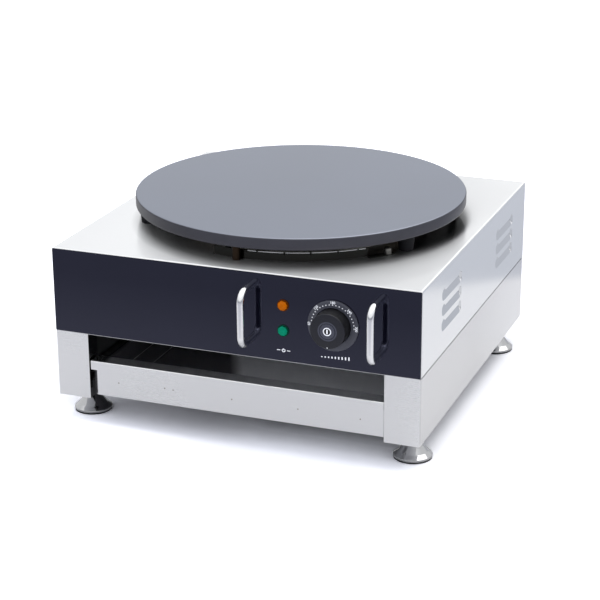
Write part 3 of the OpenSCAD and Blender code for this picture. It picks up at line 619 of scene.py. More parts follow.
def tray_material(steel):
    """Satin sheet of the drip tray, with a soft-edged painted reflection of its dark left wall at its
    left.
    """
    material, place, _, bare_tone = mottled("Drip tray sheet", steel, 12.0, (0.93, 1.0), (0.42, 0.52))
    grain = pattern(place, "Brushed Grain")
    # Painted reflection: the left of the tray is dark, as if it mirrored its shaded left wall.
    painted_dark_reflection = mix(grain, (0.08, 0.078, 0.085), (0.11, 0.107, 0.12))
    aside = vector_node("DOT_PRODUCT", place, (0.914, 0.405, 0.0), output="Value")
    return dress(material, {
        "Base Color": mix(ramp(aside, -0.0894, -0.0744), painted_dark_reflection, bare_tone), "Metallic": 0.05,
        "Normal": bump(grain, 0.05, 0.00002)})


def griddle_face_material(base):
    """Ground iron: rings about the plate's axis, with a faint bloom of seasoning."""
    material, place, _, bloom = mottled("Ground griddle face", base, 6.0, (0.97, 1.02), (0.46, 0.52))
    centred = node_after("ShaderNodeMapping", {"Vector": place, "Location": tuple(-PLATE_CENTRE)})
    rings = pattern(centred, "Turned Rings", Pitch=0.0011)
    speckle = pattern(place, "Fine Speckle", Scale=1500.0)
    ground = mix(ramp(rings, 0.2, 1.2, 0.0, 0.05), bloom, np.array(base) * 0.8)
    return dress(material, {
        "Base Color": ground, "Metallic": 0.85,
        "Normal": bump(calculate("ADD", rings, speckle), 0.10, 0.00003)})


def cast_material(name, base, roughness, metallic, scale=1100.0, gloss=0.5, left=1.0):
    """Cast or coated iron with a fine sandy skin, painted darker towards the left by the factor left, as
    painted shade.
    """
    material, place, _, tone = mottled(
        name, base, 14.0, (0.88, 1.1), (roughness - 0.05, roughness + 0.05))
    # Painted shade: darker towards the left.
    if left < 1:
        tone = mix(ramp(split(place)["X"], -0.18, 0.0, left, 1.0), BLACK, tone)
    return dress(material, {
        "Base Color": tone, "Metallic": metallic, "Specular IOR Level": gloss,
        "Normal": bump(pattern(place, "Fine Speckle", Scale=scale), 0.25, 0.00006)})


def enamel_material(base):
    """Black gloss enamel: almost flat, with a faint orange peel and wiping marks."""
    material, place, _, _ = mottled("Black gloss enamel", base, 10.0, (0.9, 1.1), (0.04, 0.08))
    return dress(material, {
        "Specular IOR Level": 0.6, "Specular Tint": (0.67, 0.70, 1.0, 1),
        "Normal": bump(noise(place, 260.0, 2.0), 0.02, 0.0001)})


def plastic_material(name, base, roughness=0.34, grain=0.2):
    """Moulded plastic with a fine matt grain and a slight sheen."""
    material, place, _, _ = mottled(
        name, base, 30.0, (0.9, 1.12), (roughness - 0.05, roughness + 0.05))
    return dress(material, {
        "Normal": bump(pattern(place, "Fine Speckle", Scale=2400.0), grain, 0.00004)})


def chrome_material(name, base, roughness):
    """Polished or plated metal with faint hairlines and finger marks."""
    material, place, _, _ = mottled(
        name, base, 45.0, (0.96, 1.0), (roughness - 0.03, roughness + 0.04))
    hair = pattern(place, "Brushed Grain", Fineness=3000.0, Stretch=12.0)
    return dress(material, {"Metallic": 1.0, "Normal": bump(hair, 0.02, 0.00002)})


def lens_material(name, base, glow):
    """Tinted clear plastic of a pilot lamp, lit a little from within."""
    material, _, clouds, tone = mottled(name, base, 160.0, (0.85, 1.15), (0.14, 0.22))
    return dress(material, {
        "Specular IOR Level": 0.07, "Emission Color": tone, "Emission Strength": glow,
        "Normal": bump(clouds, 0.05, 0.00005)})


def yellow_metal_material(name, base):
    """Brass or copper with darker tarnish in patches."""
    material, _, clouds, _ = mottled(name, base, 60.0, (0.6, 1.0), (0.42, 0.25))
    return dress(material, {"Metallic": 1.0, "Normal": bump(clouds, 0.1, 0.00004)})


def hot_steel_material():
    """Steel near the heating, tinted and dulled."""
    material, place = new_material("Heat tinted steel")
    grain = pattern(place, "Brushed Grain")
    return dress(material, {
        "Base Color": pattern(place, "Heat Tint", Amount=0.55), "Metallic": 0.9,
        "Roughness": ramp(grain, 0.3, 0.7, 0.36, 0.5), "Normal": bump(grain, 0.12, 0.00003)})


def print_material(base):
    """White ink, very slightly mottled, with a painted glow: it gives off a little light."""
    material, place = new_material("White print")
    speckle = pattern(place, "Fine Speckle", Scale=3200.0)
    return dress(material, {
        "Base Color": mix(speckle, base, base * 0.93), "Roughness": ramp(speckle, 0.0, 1.0, 0.42, 0.5),
        # Painted light: the ink glows a little though it is no lamp.
        "Emission Color": (*base, 1.0), "Emission Strength": 0.4})


def build_materials(settings):
    """All finishes, by the names that the operators use."""
    steel, chrome, edge, orange, green = (
        np.array(getattr(settings, key)) for key in ("steel", "chrome", "iron_edge", "orange", "green"))
    blur = settings.steel_roughness
    return {
        "steel": steel_material("Brushed stainless", steel, blur),
        "base_steel": steel_material("Base stainless", steel, blur, shaded=True),
        "drawer_steel": steel_material("Drawer stainless", steel, blur, top=0.25),
        "hidden_steel": steel_material("Shaded stainless", steel * 0.12, 0.34),
        "floor_sheet": floor_sheet_material(steel),
        # Painted shade: the heat guard's steel is near black, as it stands in the plate's shade.
        "guard_steel": steel_material("Guard steel", (0.040, 0.040, 0.037), 0.34, top=1.0),
        "tray": tray_material(steel),
        "griddle_face": griddle_face_material(settings.iron_face),
        # Painted shade: the rim is darker towards its left.
        "griddle_edge": cast_material("Griddle edge", edge, 0.40, 0.45, left=0.6),
        "lug_iron": cast_material("Shaded lug iron", edge * 0.14, 0.6, 0.0, gloss=0.15),
        "board": cast_material("Insulation board", (0.62, 0.59, 0.52), 0.85, 0.0, 700.0),
        "enamel": enamel_material(settings.enamel),
        # Painted highlight: a pale finish for thin strips that stand in for bright lines of light.
        "hem": plastic_material("Pale highlight strip", (0.80, 0.80, 0.79), 0.42, 0.1),
        "plastic": plastic_material("Black moulded plastic", settings.plastic),
        "cap_plastic": plastic_material("Knob cap plastic", (0.062, 0.066, 0.094)),
        "bezel_plastic": plastic_material("Bezel plastic", (0.072, 0.075, 0.096), 0.4),
        # A near-black copy of the knob plastic; on the knob's upright side it is painted shade.
        "shaft_plastic": plastic_material("Knob side plastic", (0.001, 0.001, 0.003), 0.6),
        "rear_plastic": plastic_material("Fitting plastic", (0.022, 0.022, 0.023), 0.42, 0.3),
        "red_plastic": plastic_material("Red button plastic", (0.50, 0.015, 0.012), 0.3),
        "ceramic": plastic_material("White ceramic", (0.78, 0.76, 0.70), 0.4, 0.1),
        "wire": plastic_material("Silicone wire", (0.42, 0.03, 0.025), 0.5),
        "rubber": plastic_material("Foot rubber", settings.rubber, 0.7, 0.5),
        "chrome": chrome_material("Polished chrome", chrome, 0.17),
        # Painted shade: the feet's chrome is a darkened copy, as they mirror the shade under the body.
        "foot_chrome": chrome_material("Plated foot", chrome * 0.56, 0.09),
        "fastener": chrome_material("Fastener steel", (0.62, 0.62, 0.63), 0.24),
        "dull_steel": chrome_material("Dull screw steel", (0.22, 0.215, 0.20), 0.4),
        # The posts' brown is the steel's own; they are darkened further as painted shade under the plate.
        "post_steel": chrome_material("Browned post steel", (0.042, 0.028, 0.019), 0.4),
        "orange": lens_material("Orange lens", orange, 0.55),
        "green": lens_material("Green lens", green, 0.55),
        # Painted shade: the lamps' collars take darkened copies of the lens colours.
        "orange_edge": lens_material("Orange lens edge", orange * 0.22, 0.3),
        "green_edge": lens_material("Green lens edge", green * 0.22, 0.3),
        "hot_steel": hot_steel_material(),
        "brass": yellow_metal_material("Brass", (0.72, 0.50, 0.20)),
        "copper": yellow_metal_material("Copper tube", (0.70, 0.36, 0.22)),
        "print": print_material(np.array(settings.print_white)),
    }


def finish_nodes(finish, *names):
    """Gives carried-over CAD nodes a finish in all their slots."""
    for name in names:
        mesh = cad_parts[name].data
        mesh.materials.clear()
        mesh.materials.append(FINISH[finish])


# ---------- operators ----------

class CREPE_OT_finishes(bpy.types.Operator):
    """Builds the shared node groups and every finish"""

    bl_idname = "crepe.finishes"
    bl_label = "Finishes"

    def execute(self, context):
        group_brushed_grain()
        group_smudges()
        group_speckle()
        group_turned_rings()
        group_heat_tint()
        FINISH.update(build_materials(context.scene.crepe_finishes))
        return {"FINISHED"}


class CREPE_OT_housing(bpy.types.Operator):
    """Finishes the folded steel housing, its rear panel and its floor"""

    bl_idname = "crepe.housing"
    bl_label = "Upper housing"

    def execute(self, context):
        finish_nodes("steel", "top_housing", "rear_panel")
        finish_nodes("floor_sheet", "floor_plate")
        finish_nodes("enamel", "front_panel")
        finish_nodes("fastener", "rear_screws", "base_bolts", "handle_screws")
        return {"FINISHED"}


class CREPE_OT_base(bpy.types.Operator):
    """Finishes the base, the runners and the pull-out drawer"""

    bl_idname = "crepe.base"
    bl_label = "Base and drawer"

    def execute(self, context):
        finish_nodes("base_steel", "base_housing")
        finish_nodes("hidden_steel", "foot_brackets", "left_runner", "right_runner")
        finish_nodes("tray", "drawer_tray")
        finish_nodes("drawer_steel", "drawer_front")
        self.tray_highlight_beads()
        self.end_shade_strip()
        self.weld_marks()
        self.panel_edge_highlight()
        return {"FINISHED"}

    def tray_highlight_beads(self):
        """Pale beads along the tray's side corners and across its floor, as painted highlights for bright
        lines of light there.
        """
        low, high = node_box("drawer_tray")
        along = np.linspace(low[1] + 8 * MM, high[1] - 8 * MM, 24)[:, None] * Y
        bead = circle_section(0.75 * MM, 12)
        parts = [(sweep(x * X + along + TRAY_FLOOR * Z, bead, Z), 0) for x in BEAD_LINES]
        highlight_beads = piece("tray_highlight_beads", parts, ["hem"], "drawer")

    def end_shade_strip(self):
        """An upright black strip at the drawer's left end, as painted shade that stands in for the dark
        gap there.
        """
        foot = np.array([-176.1 * MM, node_box("drawer_front")[0][1] + 9 * MM, 0.0])
        path = foot + np.linspace(41.0, 69.8, 12)[:, None] * MM * Z
        parts = [(sweep(path, flat_section(6 * MM, 1.4 * MM), X), 0)]
        strip = piece("drawer_end_strip", parts, ["rubber"], "drawer")

    def weld_marks(self):
        """Small dished marks of spot welds along the drawer's face."""
        spot = np.array([(0.0, -0.2), (0.75, -0.2), (0.75, 0.02), (0.4, 0.03), (0.0, 0.01)]) * MM
        face = node_box("drawer_front")[0][1] + 0.25 * MM
        parts = [(lathe(spot, np.array([x * MM, face, z * MM]), -Y, 16), 0) for x, z in WELDS]
        marks = piece("weld_marks", parts, ["hot_steel"], "drawer")

    def panel_edge_highlight(self):
        """A thin pale strip at the lower edge of the front panel's backing sheet: a painted highlight
        along that edge.
        """
        across = np.linspace(PANEL_LOW[0] + 0.6 * MM, PANEL_HIGH[0] - 0.6 * MM, 40)[:, None]
        path = across * X + np.array([0.0, FRONT_Y + 0.5 * MM, PANEL_LOW[2] - 0.22 * MM])
        parts = [(sweep(path, flat_section(0.42 * MM, 0.21 * MM), Z), 0)]
        hem = piece("panel_edge_highlight", parts, ["hem"], "chassis")


class CREPE_OT_griddle(bpy.types.Operator):
    """Turns the griddle plate with soft edges and its cast lugs"""

    bl_idname = "crepe.griddle"
    bl_label = "Griddle plate"

    def execute(self, context):
        settings = context.scene.crepe_griddle
        low, high = PLATE_HIGH[2] - PLATE_DEPTH, PLATE_HIGH[2]
        face = rounded([
            (0.0, high, 0), (PLATE_RADIUS, high, settings.top_round), (PLATE_RADIUS, low + 4 * MM, 0)])
        edge = rounded([
            (PLATE_RADIUS, low + 4 * MM, 0), (PLATE_RADIUS, low, settings.bottom_round), (0.0, low, 0)])
        parts = [(lathe(np.concatenate([face, edge[1:]]), PLATE_CENTRE, segments=360), 1)]
        lug = rounded([
            (0.0, TOP_Z + 0.1 * MM, 0), (8.6 * MM, TOP_Z + 0.1 * MM, 0.6 * MM),
            (10.4 * MM, low, settings.lug_fillet), (12.6 * MM, low + 0.5 * MM, 0),
            (0.0, low + 0.5 * MM, 0)])
        for degrees in LUG_DEGREES:
            a = math.radians(degrees - 90)
            centre = PLATE_CENTRE + LUG_CIRCLE * (math.cos(a) * X + math.sin(a) * Y)
            parts.append((lathe(lug, centre, segments=64), 2))
        plate = piece("griddle", parts, ["griddle_face", "griddle_edge", "lug_iron"], "chassis")
        top = high - 0.35 * settings.top_round
        for polygon in plate.data.polygons:
            if polygon.center.z > top:
                polygon.material_index = 0
            # Painted shade: the plate's underside takes the darkened copy of its rim iron.
            elif polygon.normal.z < -0.9:
                polygon.material_index = 2
        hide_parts("griddle_plate")
        return {"FINISHED"}


class CREPE_OT_under_plate(bpy.types.Operator):
    """Finishes what stands between the housing and the plate"""

    bl_idname = "crepe.under_plate"
    bl_label = "Under the plate"

    def execute(self, context):
        finish_nodes("guard_steel", "heat_guard")
        self.guard_edge_highlight()
        finish_nodes("post_steel", "spacer_posts")
        finish_nodes("hot_steel", "outer_element", "inner_element", "element_clamp", "reflector_pan")
        finish_nodes("fastener", "plate_screws", "clamp_bolts")
        finish_nodes("dull_steel", "guard_screws")
        finish_nodes("board", "insulation_disc")
        finish_nodes("copper", "thermostat_bulb", "thermostat_capillary",
                     "limiter_bulb", "limiter_capillary")
        return {"FINISHED"}

    def guard_edge_highlight(self):
        """A pale strip on the heat guard's upper edge, which stops at each small hole: a painted
        highlight along that edge.
        """
        high = node_box("heat_guard")[1][2] - 0.35 * MM
        section = np.array([(-0.3, -0.35), (0.2, -0.35), (0.2, 0.4), (-0.3, 0.4)]) * MM
        parts = []
        for start, end in zip(GUARD_HOLES[:-1], GUARD_HOLES[1:]):
            a = np.radians(np.linspace(start + 0.35, end - 0.35, 16))[:, None]
            path = PLATE_CENTRE + GUARD_RADIUS * (np.sin(a) * X - np.cos(a) * Y) + high * Z
            parts.append((sweep(path, section, Z), 0))
        hem = piece("guard_edge_highlight", parts, ["hem"], "chassis")


class CREPE_OT_dial(bpy.types.Operator):
    """Builds the bezel with its printed scale, the knob and the knob's cap"""

    bl_idname = "crepe.dial"
    bl_label = "Dial"

    def execute(self, context):
        settings = context.scene.crepe_dial
        face = FRONT_Y - KNOB_LOW[1]
        self.bezel(settings)
        self.knob(settings, face)
        self.cap(settings, face)
        return {"FINISHED"}

    def bezel(self, settings):
        """A ring with a soft outer edge, printed with dots and numbers."""
        outer = (BEZEL_HIGH[0] - BEZEL_LOW[0]) / 2
        inner = KNOB_RADIUS + 0.7 * MM
        thick = 3 * MM
        loop = rounded([
            (inner, 0, 0), (outer, 0, 0), (outer, thick, 1.1 * MM), (inner, thick, 0.5 * MM),
            (inner, 0, 0)])
        parts = [(lathe(loop[:-1], DIAL, -Y, 160, closed=True), 0)]
        for degrees in np.linspace(-90, 90, settings.dot_count):
            parts.append((dot(degrees, settings.dot_circle, settings.dot_radius, thick), 1))
        for degrees, words in SCALE_NUMBERS.items():
            centre = on_dial(degrees, settings.number_circle, thick + 0.03 * MM)
            parts.append((number(words, settings.number_height, 0.08 * MM, centre, degrees), 1))
        ring = piece("dial_scale", parts, ["bezel_plastic", "print"], "chassis")
        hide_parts("dial_bezel")

    def knob(self, settings, face):
        """A skirted knob with a soft front edge, a sunk ring round its cap, and its dot."""
        body = rounded([
            (0.0, 1 * MM, 0), (KNOB_RADIUS, 1 * MM, 0.4 * MM), (KNOB_RADIUS, face, 1.0 * MM),
            (11.2 * MM, face, 0), (9.5 * MM, face, 0.3 * MM), (9.1 * MM, face - 1.4 * MM, 0),
            (0.0, face - 1.4 * MM, 0)])
        knob = piece("knob_body", [
            (lathe(body, DIAL, -Y, 160), 0),
            (dot(180, settings.pointer_circle, 0.62 * MM, face), 1),
        ], ["plastic", "print", "cap_plastic", "shaft_plastic"], "knob")
        for polygon in knob.data.polygons:
            beside = np.array(polygon.center) - DIAL
            # Painted shade: the knob's upright side takes the darker copy of its plastic.
            if polygon.material_index == 0 and abs(polygon.normal.y) < 0.2:
                polygon.material_index = 3
            elif polygon.material_index == 0 and math.hypot(beside[0], beside[2]) < 11.2 * MM:
                polygon.material_index = 2
        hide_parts("temperature_knob")

    def cap(self, settings, face):
        """The knob's round cap, printed with an upright stroke in a ring."""
        face += 0.35 * MM
        base = face - 2.35 * MM
        cap = rounded([
            (0.0, base, 0), (8.9 * MM, base, 0), (8.9 * MM, face, 0.5 * MM), (0.0, face + 0.05 * MM, 0)])
        line = 0.55 * MM
        ring = settings.mark_radius - line
        raised = 0.08 * MM
        disc = [(0.0, face), (ring, face), (ring, face + raised), (0.0, face + raised)]
        a = np.linspace(0, 2 * np.pi, 97)
        centre = DIAL - (face + raised) * Y
        top = piece("knob_cap_face", [
            (lathe(cap, DIAL, -Y, 96), 2),
            (lathe(disc, DIAL, -Y, 64), 3),
            (stroke(centre, ring * np.stack([np.cos(a), np.sin(a)], 1), line, 0.03 * MM), 1),
            (stroke(centre, np.array([(0, -2.6), (0, 0.0), (0, 2.6)]) * MM, 0.85 * MM, 0.03 * MM), 1),
        ], ["plastic", "print", "cap_plastic", "shaft_plastic"], "knob")
        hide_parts("knob_cap")


class CREPE_OT_lamps(bpy.types.Operator):
    """Builds the two faceted pilot lamp lenses"""

    bl_idname = "crepe.lamps"
    bl_label = "Pilot lamps"

    def execute(self, context):
        for node, slot, finish in (("heating_lamp_lens", "orange_lens", "orange"),
                                   ("power_lamp_lens", "green_lens", "green")):
            low, high = node_box(node)
            centre = (low + high) / 2
            centre[1] = FRONT_Y
            # Painted shade: the collar takes the darkened copy of the lens colour.
            lens = piece(node.replace("_lens", "_dome"), [
                (self.collar((high[0] - low[0]) / 2, centre), 1),
                (self.dome(5.8 * MM, 0.8 * (FRONT_Y - low[1]), centre), 0),
            ], [finish, finish + "_edge"], "chassis", 12)
            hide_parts(node)
        finish_nodes("rear_plastic", "lamp_bodies")
        return {"FINISHED"}

    def collar(self, radius, centre):
        """A low round flange with a soft edge."""
        outline = rounded([
            (0.0, 0, 0), (radius, 0, 0), (radius, 1.5 * MM, 0.7 * MM), (0.0, 1.7 * MM, 0)])
        return lathe(outline, centre, -Y, 64)

    def dome(self, radius, reach, centre, facets=8):
        """A dome cut into flat facets.

        Rings of regular polygons stand at given shares of the radius and the reach, and the
        corners turn by half a facet from one ring to the next.
        """
        rings = np.array([1.0, 0.97, 0.74, 0.5, 0.0])
        heights = np.array([1.0 * MM, 0.6 * reach, 0.92 * reach, 0.985 * reach, reach])
        turn = np.arange(len(rings)) * np.pi / facets
        a = np.linspace(0, 2 * np.pi, facets, endpoint=False) + turn[:, None]
        points = (centre + radius * rings[:, None, None]
                  * (np.cos(a)[..., None] * X + np.sin(a)[..., None] * Z)
                  - heights[:, None, None] * Y)
        base = np.repeat((centre - 1.0 * MM * Y)[None, None], facets, 1)
        return grid(np.concatenate([base, points]))


class CREPE_OT_handles(bpy.types.Operator):
    """Bends the two bow handles of round bar"""

    bl_idname = "crepe.handles"
    bl_label = "Bow handles"

    def execute(self, context):
        for node in ("left_handle", "right_handle"):
            low, high = node_box(node)
            radius = (high[0] - low[0]) / 2
            bar_y = low[1] + radius
            path = rounded([
                (high[1], low[2] + radius, 0), (bar_y, low[2] + radius, 13 * MM),
                (bar_y, high[2] - radius, 13 * MM), (high[1], high[2] - radius, 0)], 20)
            points = (low[0] + radius) * X + path[:, :1] * Y + path[:, 1:] * Z
            bar = piece(node.replace("_handle", "_bow"), [
                (sweep(points, circle_section(radius, 48), X), 0)], ["chrome"], "chassis", 50)
            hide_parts(node)
        return {"FINISHED"}


class CREPE_OT_feet(bpy.types.Operator):
    """Turns the four adjustable feet and cuts their threads"""

    bl_idname = "crepe.feet"
    bl_label = "Feet"

    def execute(self, context):
        for node, body in FOOT_BODIES.items():
            low, high = node_box(node)
            centre = (low + high) / 2 * (X + Y)
            rim = (high[0] - low[0]) / 2
            cup = rounded([
                (0.0, 2.2 * MM, 0), (rim, 2.2 * MM, 0.3 * MM), (rim, 4.3 * MM, 0.9 * MM),
                (rim - 5.0 * MM, 8.6 * MM, 2.5 * MM), (12.8 * MM, 15.2 * MM, 2.5 * MM),
                (8.8 * MM, 20.6 * MM, 1.5 * MM), (8.2 * MM, 22.4 * MM, 0), (0.0, 22.4 * MM, 0)])
            hexagon = np.array([(0.0, 22.3), (9.0, 22.3), (9.0, 26.9), (8.4, 27.4), (0.0, 27.4)]) * MM
            foot = piece(node + "_turned", [
                (lathe(cup, centre, segments=96), 0),
                (lathe(hexagon, centre, segments=6), 0),
                (self.thread(centre, 4.95 * MM, 27.0 * MM, high[2]), 0),
            ], ["foot_chrome"], body)
            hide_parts(node)
            finish_nodes("rubber", node.replace("foot_", "foot_pad_"))
        return {"FINISHED"}

    def thread(self, centre, radius, low, high, pitch=1.5 * MM, depth=0.7 * MM):
        """A screw thread: radius falls by depth times a triangle wave of height / pitch - turn."""
        z = np.linspace(low, high, int((high - low) / pitch * 6))[:, None]
        a = np.linspace(0, 2 * np.pi, 32, endpoint=False)[None]
        phase = (z / pitch - a / (2 * np.pi)) % 1.0
        r = radius - depth * np.abs(2 * phase - 1)
        points = np.stack([centre[0] + r * np.cos(a), centre[1] + r * np.sin(a), z + 0 * a], -1)
        ends = [np.broadcast_to(centre + end * Z, (1, 32, 3)) for end in (low, high)]
        return grid(np.concatenate([ends[0], points, ends[1]]))


class CREPE_OT_panel_marks(bpy.types.Operator):
    """Prints the power and heat marks on the front panel"""

    bl_idname = "crepe.panel_marks"
    bl_label = "Panel marks"

    def execute(self, context):
        settings = context.scene.crepe_panel
        a = np.radians(np.linspace(35, 325, 49))
        power = [np.stack([1.75 * np.sin(a), 1.75 * np.cos(a)], 1), [(0, 0.2), (0, 1.2), (0, 2.3)]]
        power += [[(side - 2, 0), (side, 0), (side + 2, 0)] for side in (-6.0, 6.0)]
        lines = [(settings.power_x, line, 0.42) for line in power]
        for place in range(9):
            tall = 0.6 + 0.17 * place
            bar = [(4 * place - 16, -1.9 + level * tall) for level in range(3)]
            lines.append((settings.heat_x, bar, 0.75))
        parts = []
        for x, line, width in lines:
            centre = np.array([x, FRONT_Y - 0.02 * MM, settings.mark_z])
            parts.append((stroke(centre, np.array(line) * MM, width * MM, 0.04 * MM), 0))
        marks = piece("panel_print", parts, ["print"], "chassis")
        return {"FINISHED"}


class CREPE_OT_rear_fittings(bpy.types.Operator):
    """Finishes the cable gland, the reset button, the bonding stud and the parts inside"""

    bl_idname = "crepe.rear_fittings"
    bl_label = "Rear fittings"

    def execute(self, context):
        finish_nodes("rear_plastic", "cable_gland", "gland_cap", "gland_nut", "limiter_body",
                     "thermostat_body")
        finish_nodes("fastener", "reset_nut", "thermostat_screws", "thermostat_shaft")
        finish_nodes("red_plastic", "reset_button")
        finish_nodes("brass", "bonding_stud", "bonding_nuts")
        finish_nodes("ceramic", "terminal_block")
        finish_nodes("wire", "wiring")
        return {"FINISHED"}


class CREPE_OT_studio(bpy.types.Operator):
    """Sets up the camera, the white floor, the sky and the broad lamp"""

    bl_idname = "crepe.studio"
    bl_label = "Studio"

    def execute(self, context):
        settings = context.scene.crepe_studio
        self.camera(context, settings)
        self.floor(settings)
        self.sky(context, settings)
        self.lamps(context, settings)
        context.scene.view_settings.view_transform = "Standard"
        return {"FINISHED"}

    def camera(self, context, settings):
        """The view's three axes come from yaw, pitch and roll."""
        yaw, pitch, roll = settings.camera_yaw, settings.camera_pitch, settings.camera_roll
        level = math.sin(yaw) * X + math.cos(yaw) * Y
        ahead = math.cos(pitch) * level + math.sin(pitch) * Z
        right = np.cross(level, Z)
        up = np.cross(right, ahead)
        right, up = (right * math.cos(roll) + up * math.sin(roll),
                     up * math.cos(roll) - right * math.sin(roll))
        lens = bpy.data.cameras.new("camera")
        lens.lens = settings.lens
        lens.sensor_width = 36.0
        view = bpy.data.objects.new("camera", lens)
        turned = Matrix([right, up, -ahead]).transposed().to_4x4()
        view.matrix_world = Matrix.Translation(Vector(settings.camera_place)) @ turned
        context.scene.collection.objects.link(view)
        context.scene.camera = view

    def floor(self, settings):
        """A flat floor, white for the camera, with the object's shadow on it, partly rendered and partly
        painted shadow.

        Polished faces see it in four tones: the near floor in front, the dim floor far in front,
        the pale floor round the object, and a dim blue beyond it at the right.
        """
        size = 14.0
        mesh = bpy.data.meshes.new("floor")
        corners = [(-size, -size, 0), (size, -size, 0), (size, size, 0), (-size, size, 0)]
        mesh.from_pydata(corners, [], [(0, 1, 2, 3)])
        ground = bpy.data.objects.new("floor", mesh)
        bpy.context.scene.collection.objects.link(ground)
        material, place = new_material("White floor")
        clouds = pattern(place, "Soft Smudges", Scale=2.0)
        plain = mix(clouds, (0.80, 0.80, 0.81), (0.82, 0.82, 0.83))
        at = split(place)
        across = vector_node("DOT_PRODUCT", place, (0.66, 0.75, 0.0), output="Value")
        mirrored = mix(ramp(across, 0.532, 0.560), (0.97, 0.97, 0.96), (0.67, 0.69, 0.72))
        mirrored = mix(ramp(at["Y"], -0.1, -0.3), mirrored, (0.95, 0.94, 0.93))
        mirrored = mix(ramp(at["Y"], -0.5, -0.7), mirrored, (0.62, 0.62, 0.65))
        path = material.node_tree.nodes.new("ShaderNodeLightPath").outputs
        seen = mix(path["Is Glossy Ray"], plain, mirrored)
        seen = mix(path["Is Camera Ray"], seen, scaled(self.painted_floor_light_and_shade(at), settings.floor_gain))
        dress(material, {"Base Color": seen, "Roughness": 0.9, "Specular IOR Level": 0.0})
        mesh.materials.append(material)

    def painted_floor_light_and_shade(self, at):
        """How bright the floor looks to the camera, as a grey: painted shadow and painted light.

        It is darkest under the body towards the right and beside the body's right, which is painted
        shadow, and brightest along the line under the body's front, which is painted light.
        """
        x, y = at["X"], at["Y"]
        outside = calculate("MAXIMUM", ramp(y, FRONT_Y + 0.09, FRONT_Y + 0.02), ramp(x, 0.17, 0.22))
        outside = calculate("MAXIMUM", outside, ramp(y, 0.16, 0.21))
        # Painted shadow under the body.
        deep = ramp(x, -0.13, 0.02, 1.0, 0.20)
        shade = node_after("ShaderNodeMix", {0: outside, 2: deep, 3: 1.0})
        # Painted light along the line under the body's front.
        lift = times(ramp(y, FRONT_Y + 0.05, FRONT_Y + 0.005), ramp(y, FRONT_Y - 0.05, FRONT_Y - 0.01),
                     ramp(x, -0.15, 0.0, 0.5, 0.2))
        # Painted shadow beside the body's right.
        beside = times(ramp(x, 0.17, 0.21), ramp(x, 0.29, 0.22),
                       ramp(y, FRONT_Y - 0.02, FRONT_Y + 0.02, 0.0, 0.15))
        level = times(shade, calculate("ADD", lift, 1.0), calculate("SUBTRACT", 1.0, beside))
        return combined(level, level, times(level, 1.01))

    def sky(self, context, settings):
        """The studio round the object, by direction, and plain white where it is looked at.

        It is bright at the left and behind, brightest overhead, dim low in front, and a dim blue
        along the horizon behind at the right. Soft light comes from all round, most from the front.
        """
        world = bpy.data.worlds.new("studio sky")
        world.use_nodes = True
        nodes = world.node_tree.nodes
        way = split(nodes.new("ShaderNodeTexCoord").outputs["Generated"])
        path = nodes.new("ShaderNodeLightPath").outputs
        front = ramp(way["Y"], 0.2, -0.35)
        dim = times(ramp(way["X"], -0.2, 0.45), ramp(way["Z"], 0.32, 0.0))
        tone = mix(dim, (0.98, 0.99, 1.0), (0.46, 0.49, 0.55))
        tone = scaled(tone, ramp(way["Z"], 0.6, 0.9, 1.0, 1.43))
        tone = mix(times(front, ramp(way["Z"], 0.34, 0.16)), tone, (0.30, 0.31, 0.35))
        ahead = times(front, ramp(way["Z"], 0.6, 0.4))
        spread = mix(ahead, (0.92, 0.95, 1.06), (1.9, 1.95, 2.15))
        tone = mix(path["Is Diffuse Ray"], tone, spread)
        tone = mix(path["Is Camera Ray"], tone, (1.0, 1.0, 1.0))
        seen = calculate("MAXIMUM", path["Is Camera Ray"], path["Is Glossy Ray"])
        seen = calculate("MAXIMUM", seen, path["Is Transmission Ray"])
        feed(nodes["Background"], {
            "Color": tone, "Strength": ramp(seen, 0.0, 1.0, settings.world_light, 1.0)})
        context.scene.world = world

    def lamps(self, context, settings):
        """A broad lamp overhead, as a sun with a wide disc, so that the floor is lit evenly."""
        light = bpy.data.lights.new("broad lamp", "SUN")
        light.energy = settings.key_light
        light.angle = math.radians(60)
        light.color = (1.0, 0.99, 0.965)
        lamp = bpy.data.objects.new("broad lamp", light)
        lamp.rotation_euler = (math.radians(-14), math.radians(16), 0)
        context.scene.collection.objects.link(lamp)


class CREPE_PT_panel(bpy.types.Panel):
    """Lists the pieces and their settings"""

    bl_label = "Crepe maker"
    bl_idname = "CREPE_PT_panel"
    bl_space_type = "VIEW_3D"
    bl_region_type = "UI"
    bl_category = "Crepe maker"

    def draw(self, context):
        for operator in OPERATORS:
            self.layout.operator(operator.bl_idname)
        for name, group in SETTINGS.items():
            self.layout.label(text=group.__doc__)
            for key in group.__annotations__:
                self.layout.prop(getattr(context.scene, name), key)


SETTINGS = {
    "crepe_finishes": CrepeFinishes,
    "crepe_griddle": CrepeGriddle,
    "crepe_dial": CrepeDial,
    "crepe_panel": CrepePanel,
    "crepe_studio": CrepeStudio,
}
OPERATORS = (
    CREPE_OT_finishes, CREPE_OT_housing, CREPE_OT_base, CREPE_OT_griddle, CREPE_OT_under_plate,
    CREPE_OT_dial, CREPE_OT_lamps, CREPE_OT_handles, CREPE_OT_feet, CREPE_OT_panel_marks,
    CREPE_OT_rear_fittings, CREPE_OT_studio,
)


def register():
    for group in SETTINGS.values():
        bpy.utils.register_class(group)
    for name, group in SETTINGS.items():
        setattr(bpy.types.Scene, name, bpy.props.PointerProperty(type=group))
    for operator in OPERATORS:
        bpy.utils.register_class(operator)
    bpy.utils.register_class(CREPE_PT_panel)


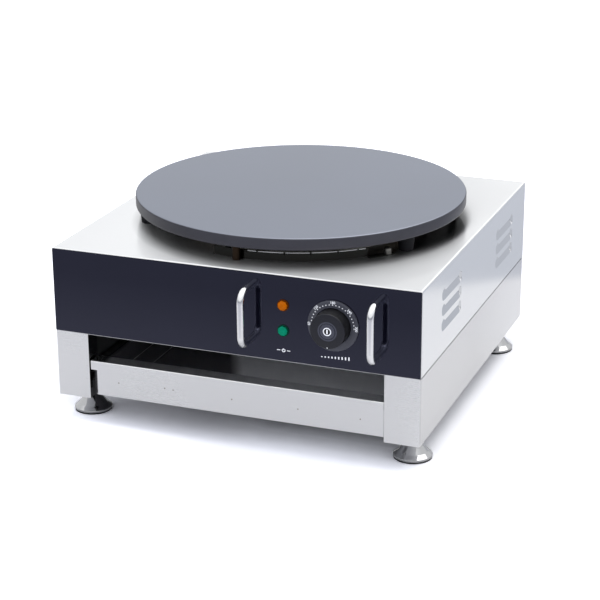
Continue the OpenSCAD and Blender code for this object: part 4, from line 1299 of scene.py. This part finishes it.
def unregister():
    bpy.utils.unregister_class(CREPE_PT_panel)
    for operator in reversed(OPERATORS):
        bpy.utils.unregister_class(operator)
    for name, group in SETTINGS.items():
        delattr(bpy.types.Scene, name)
        bpy.utils.unregister_class(group)


def main():
    """Registers the add-on and builds every piece in order."""
    register()
    for operator in OPERATORS:
        family, name = operator.bl_idname.split(".")
        getattr(getattr(bpy.ops, family), name)()


if __name__ == "__main__":
    main()
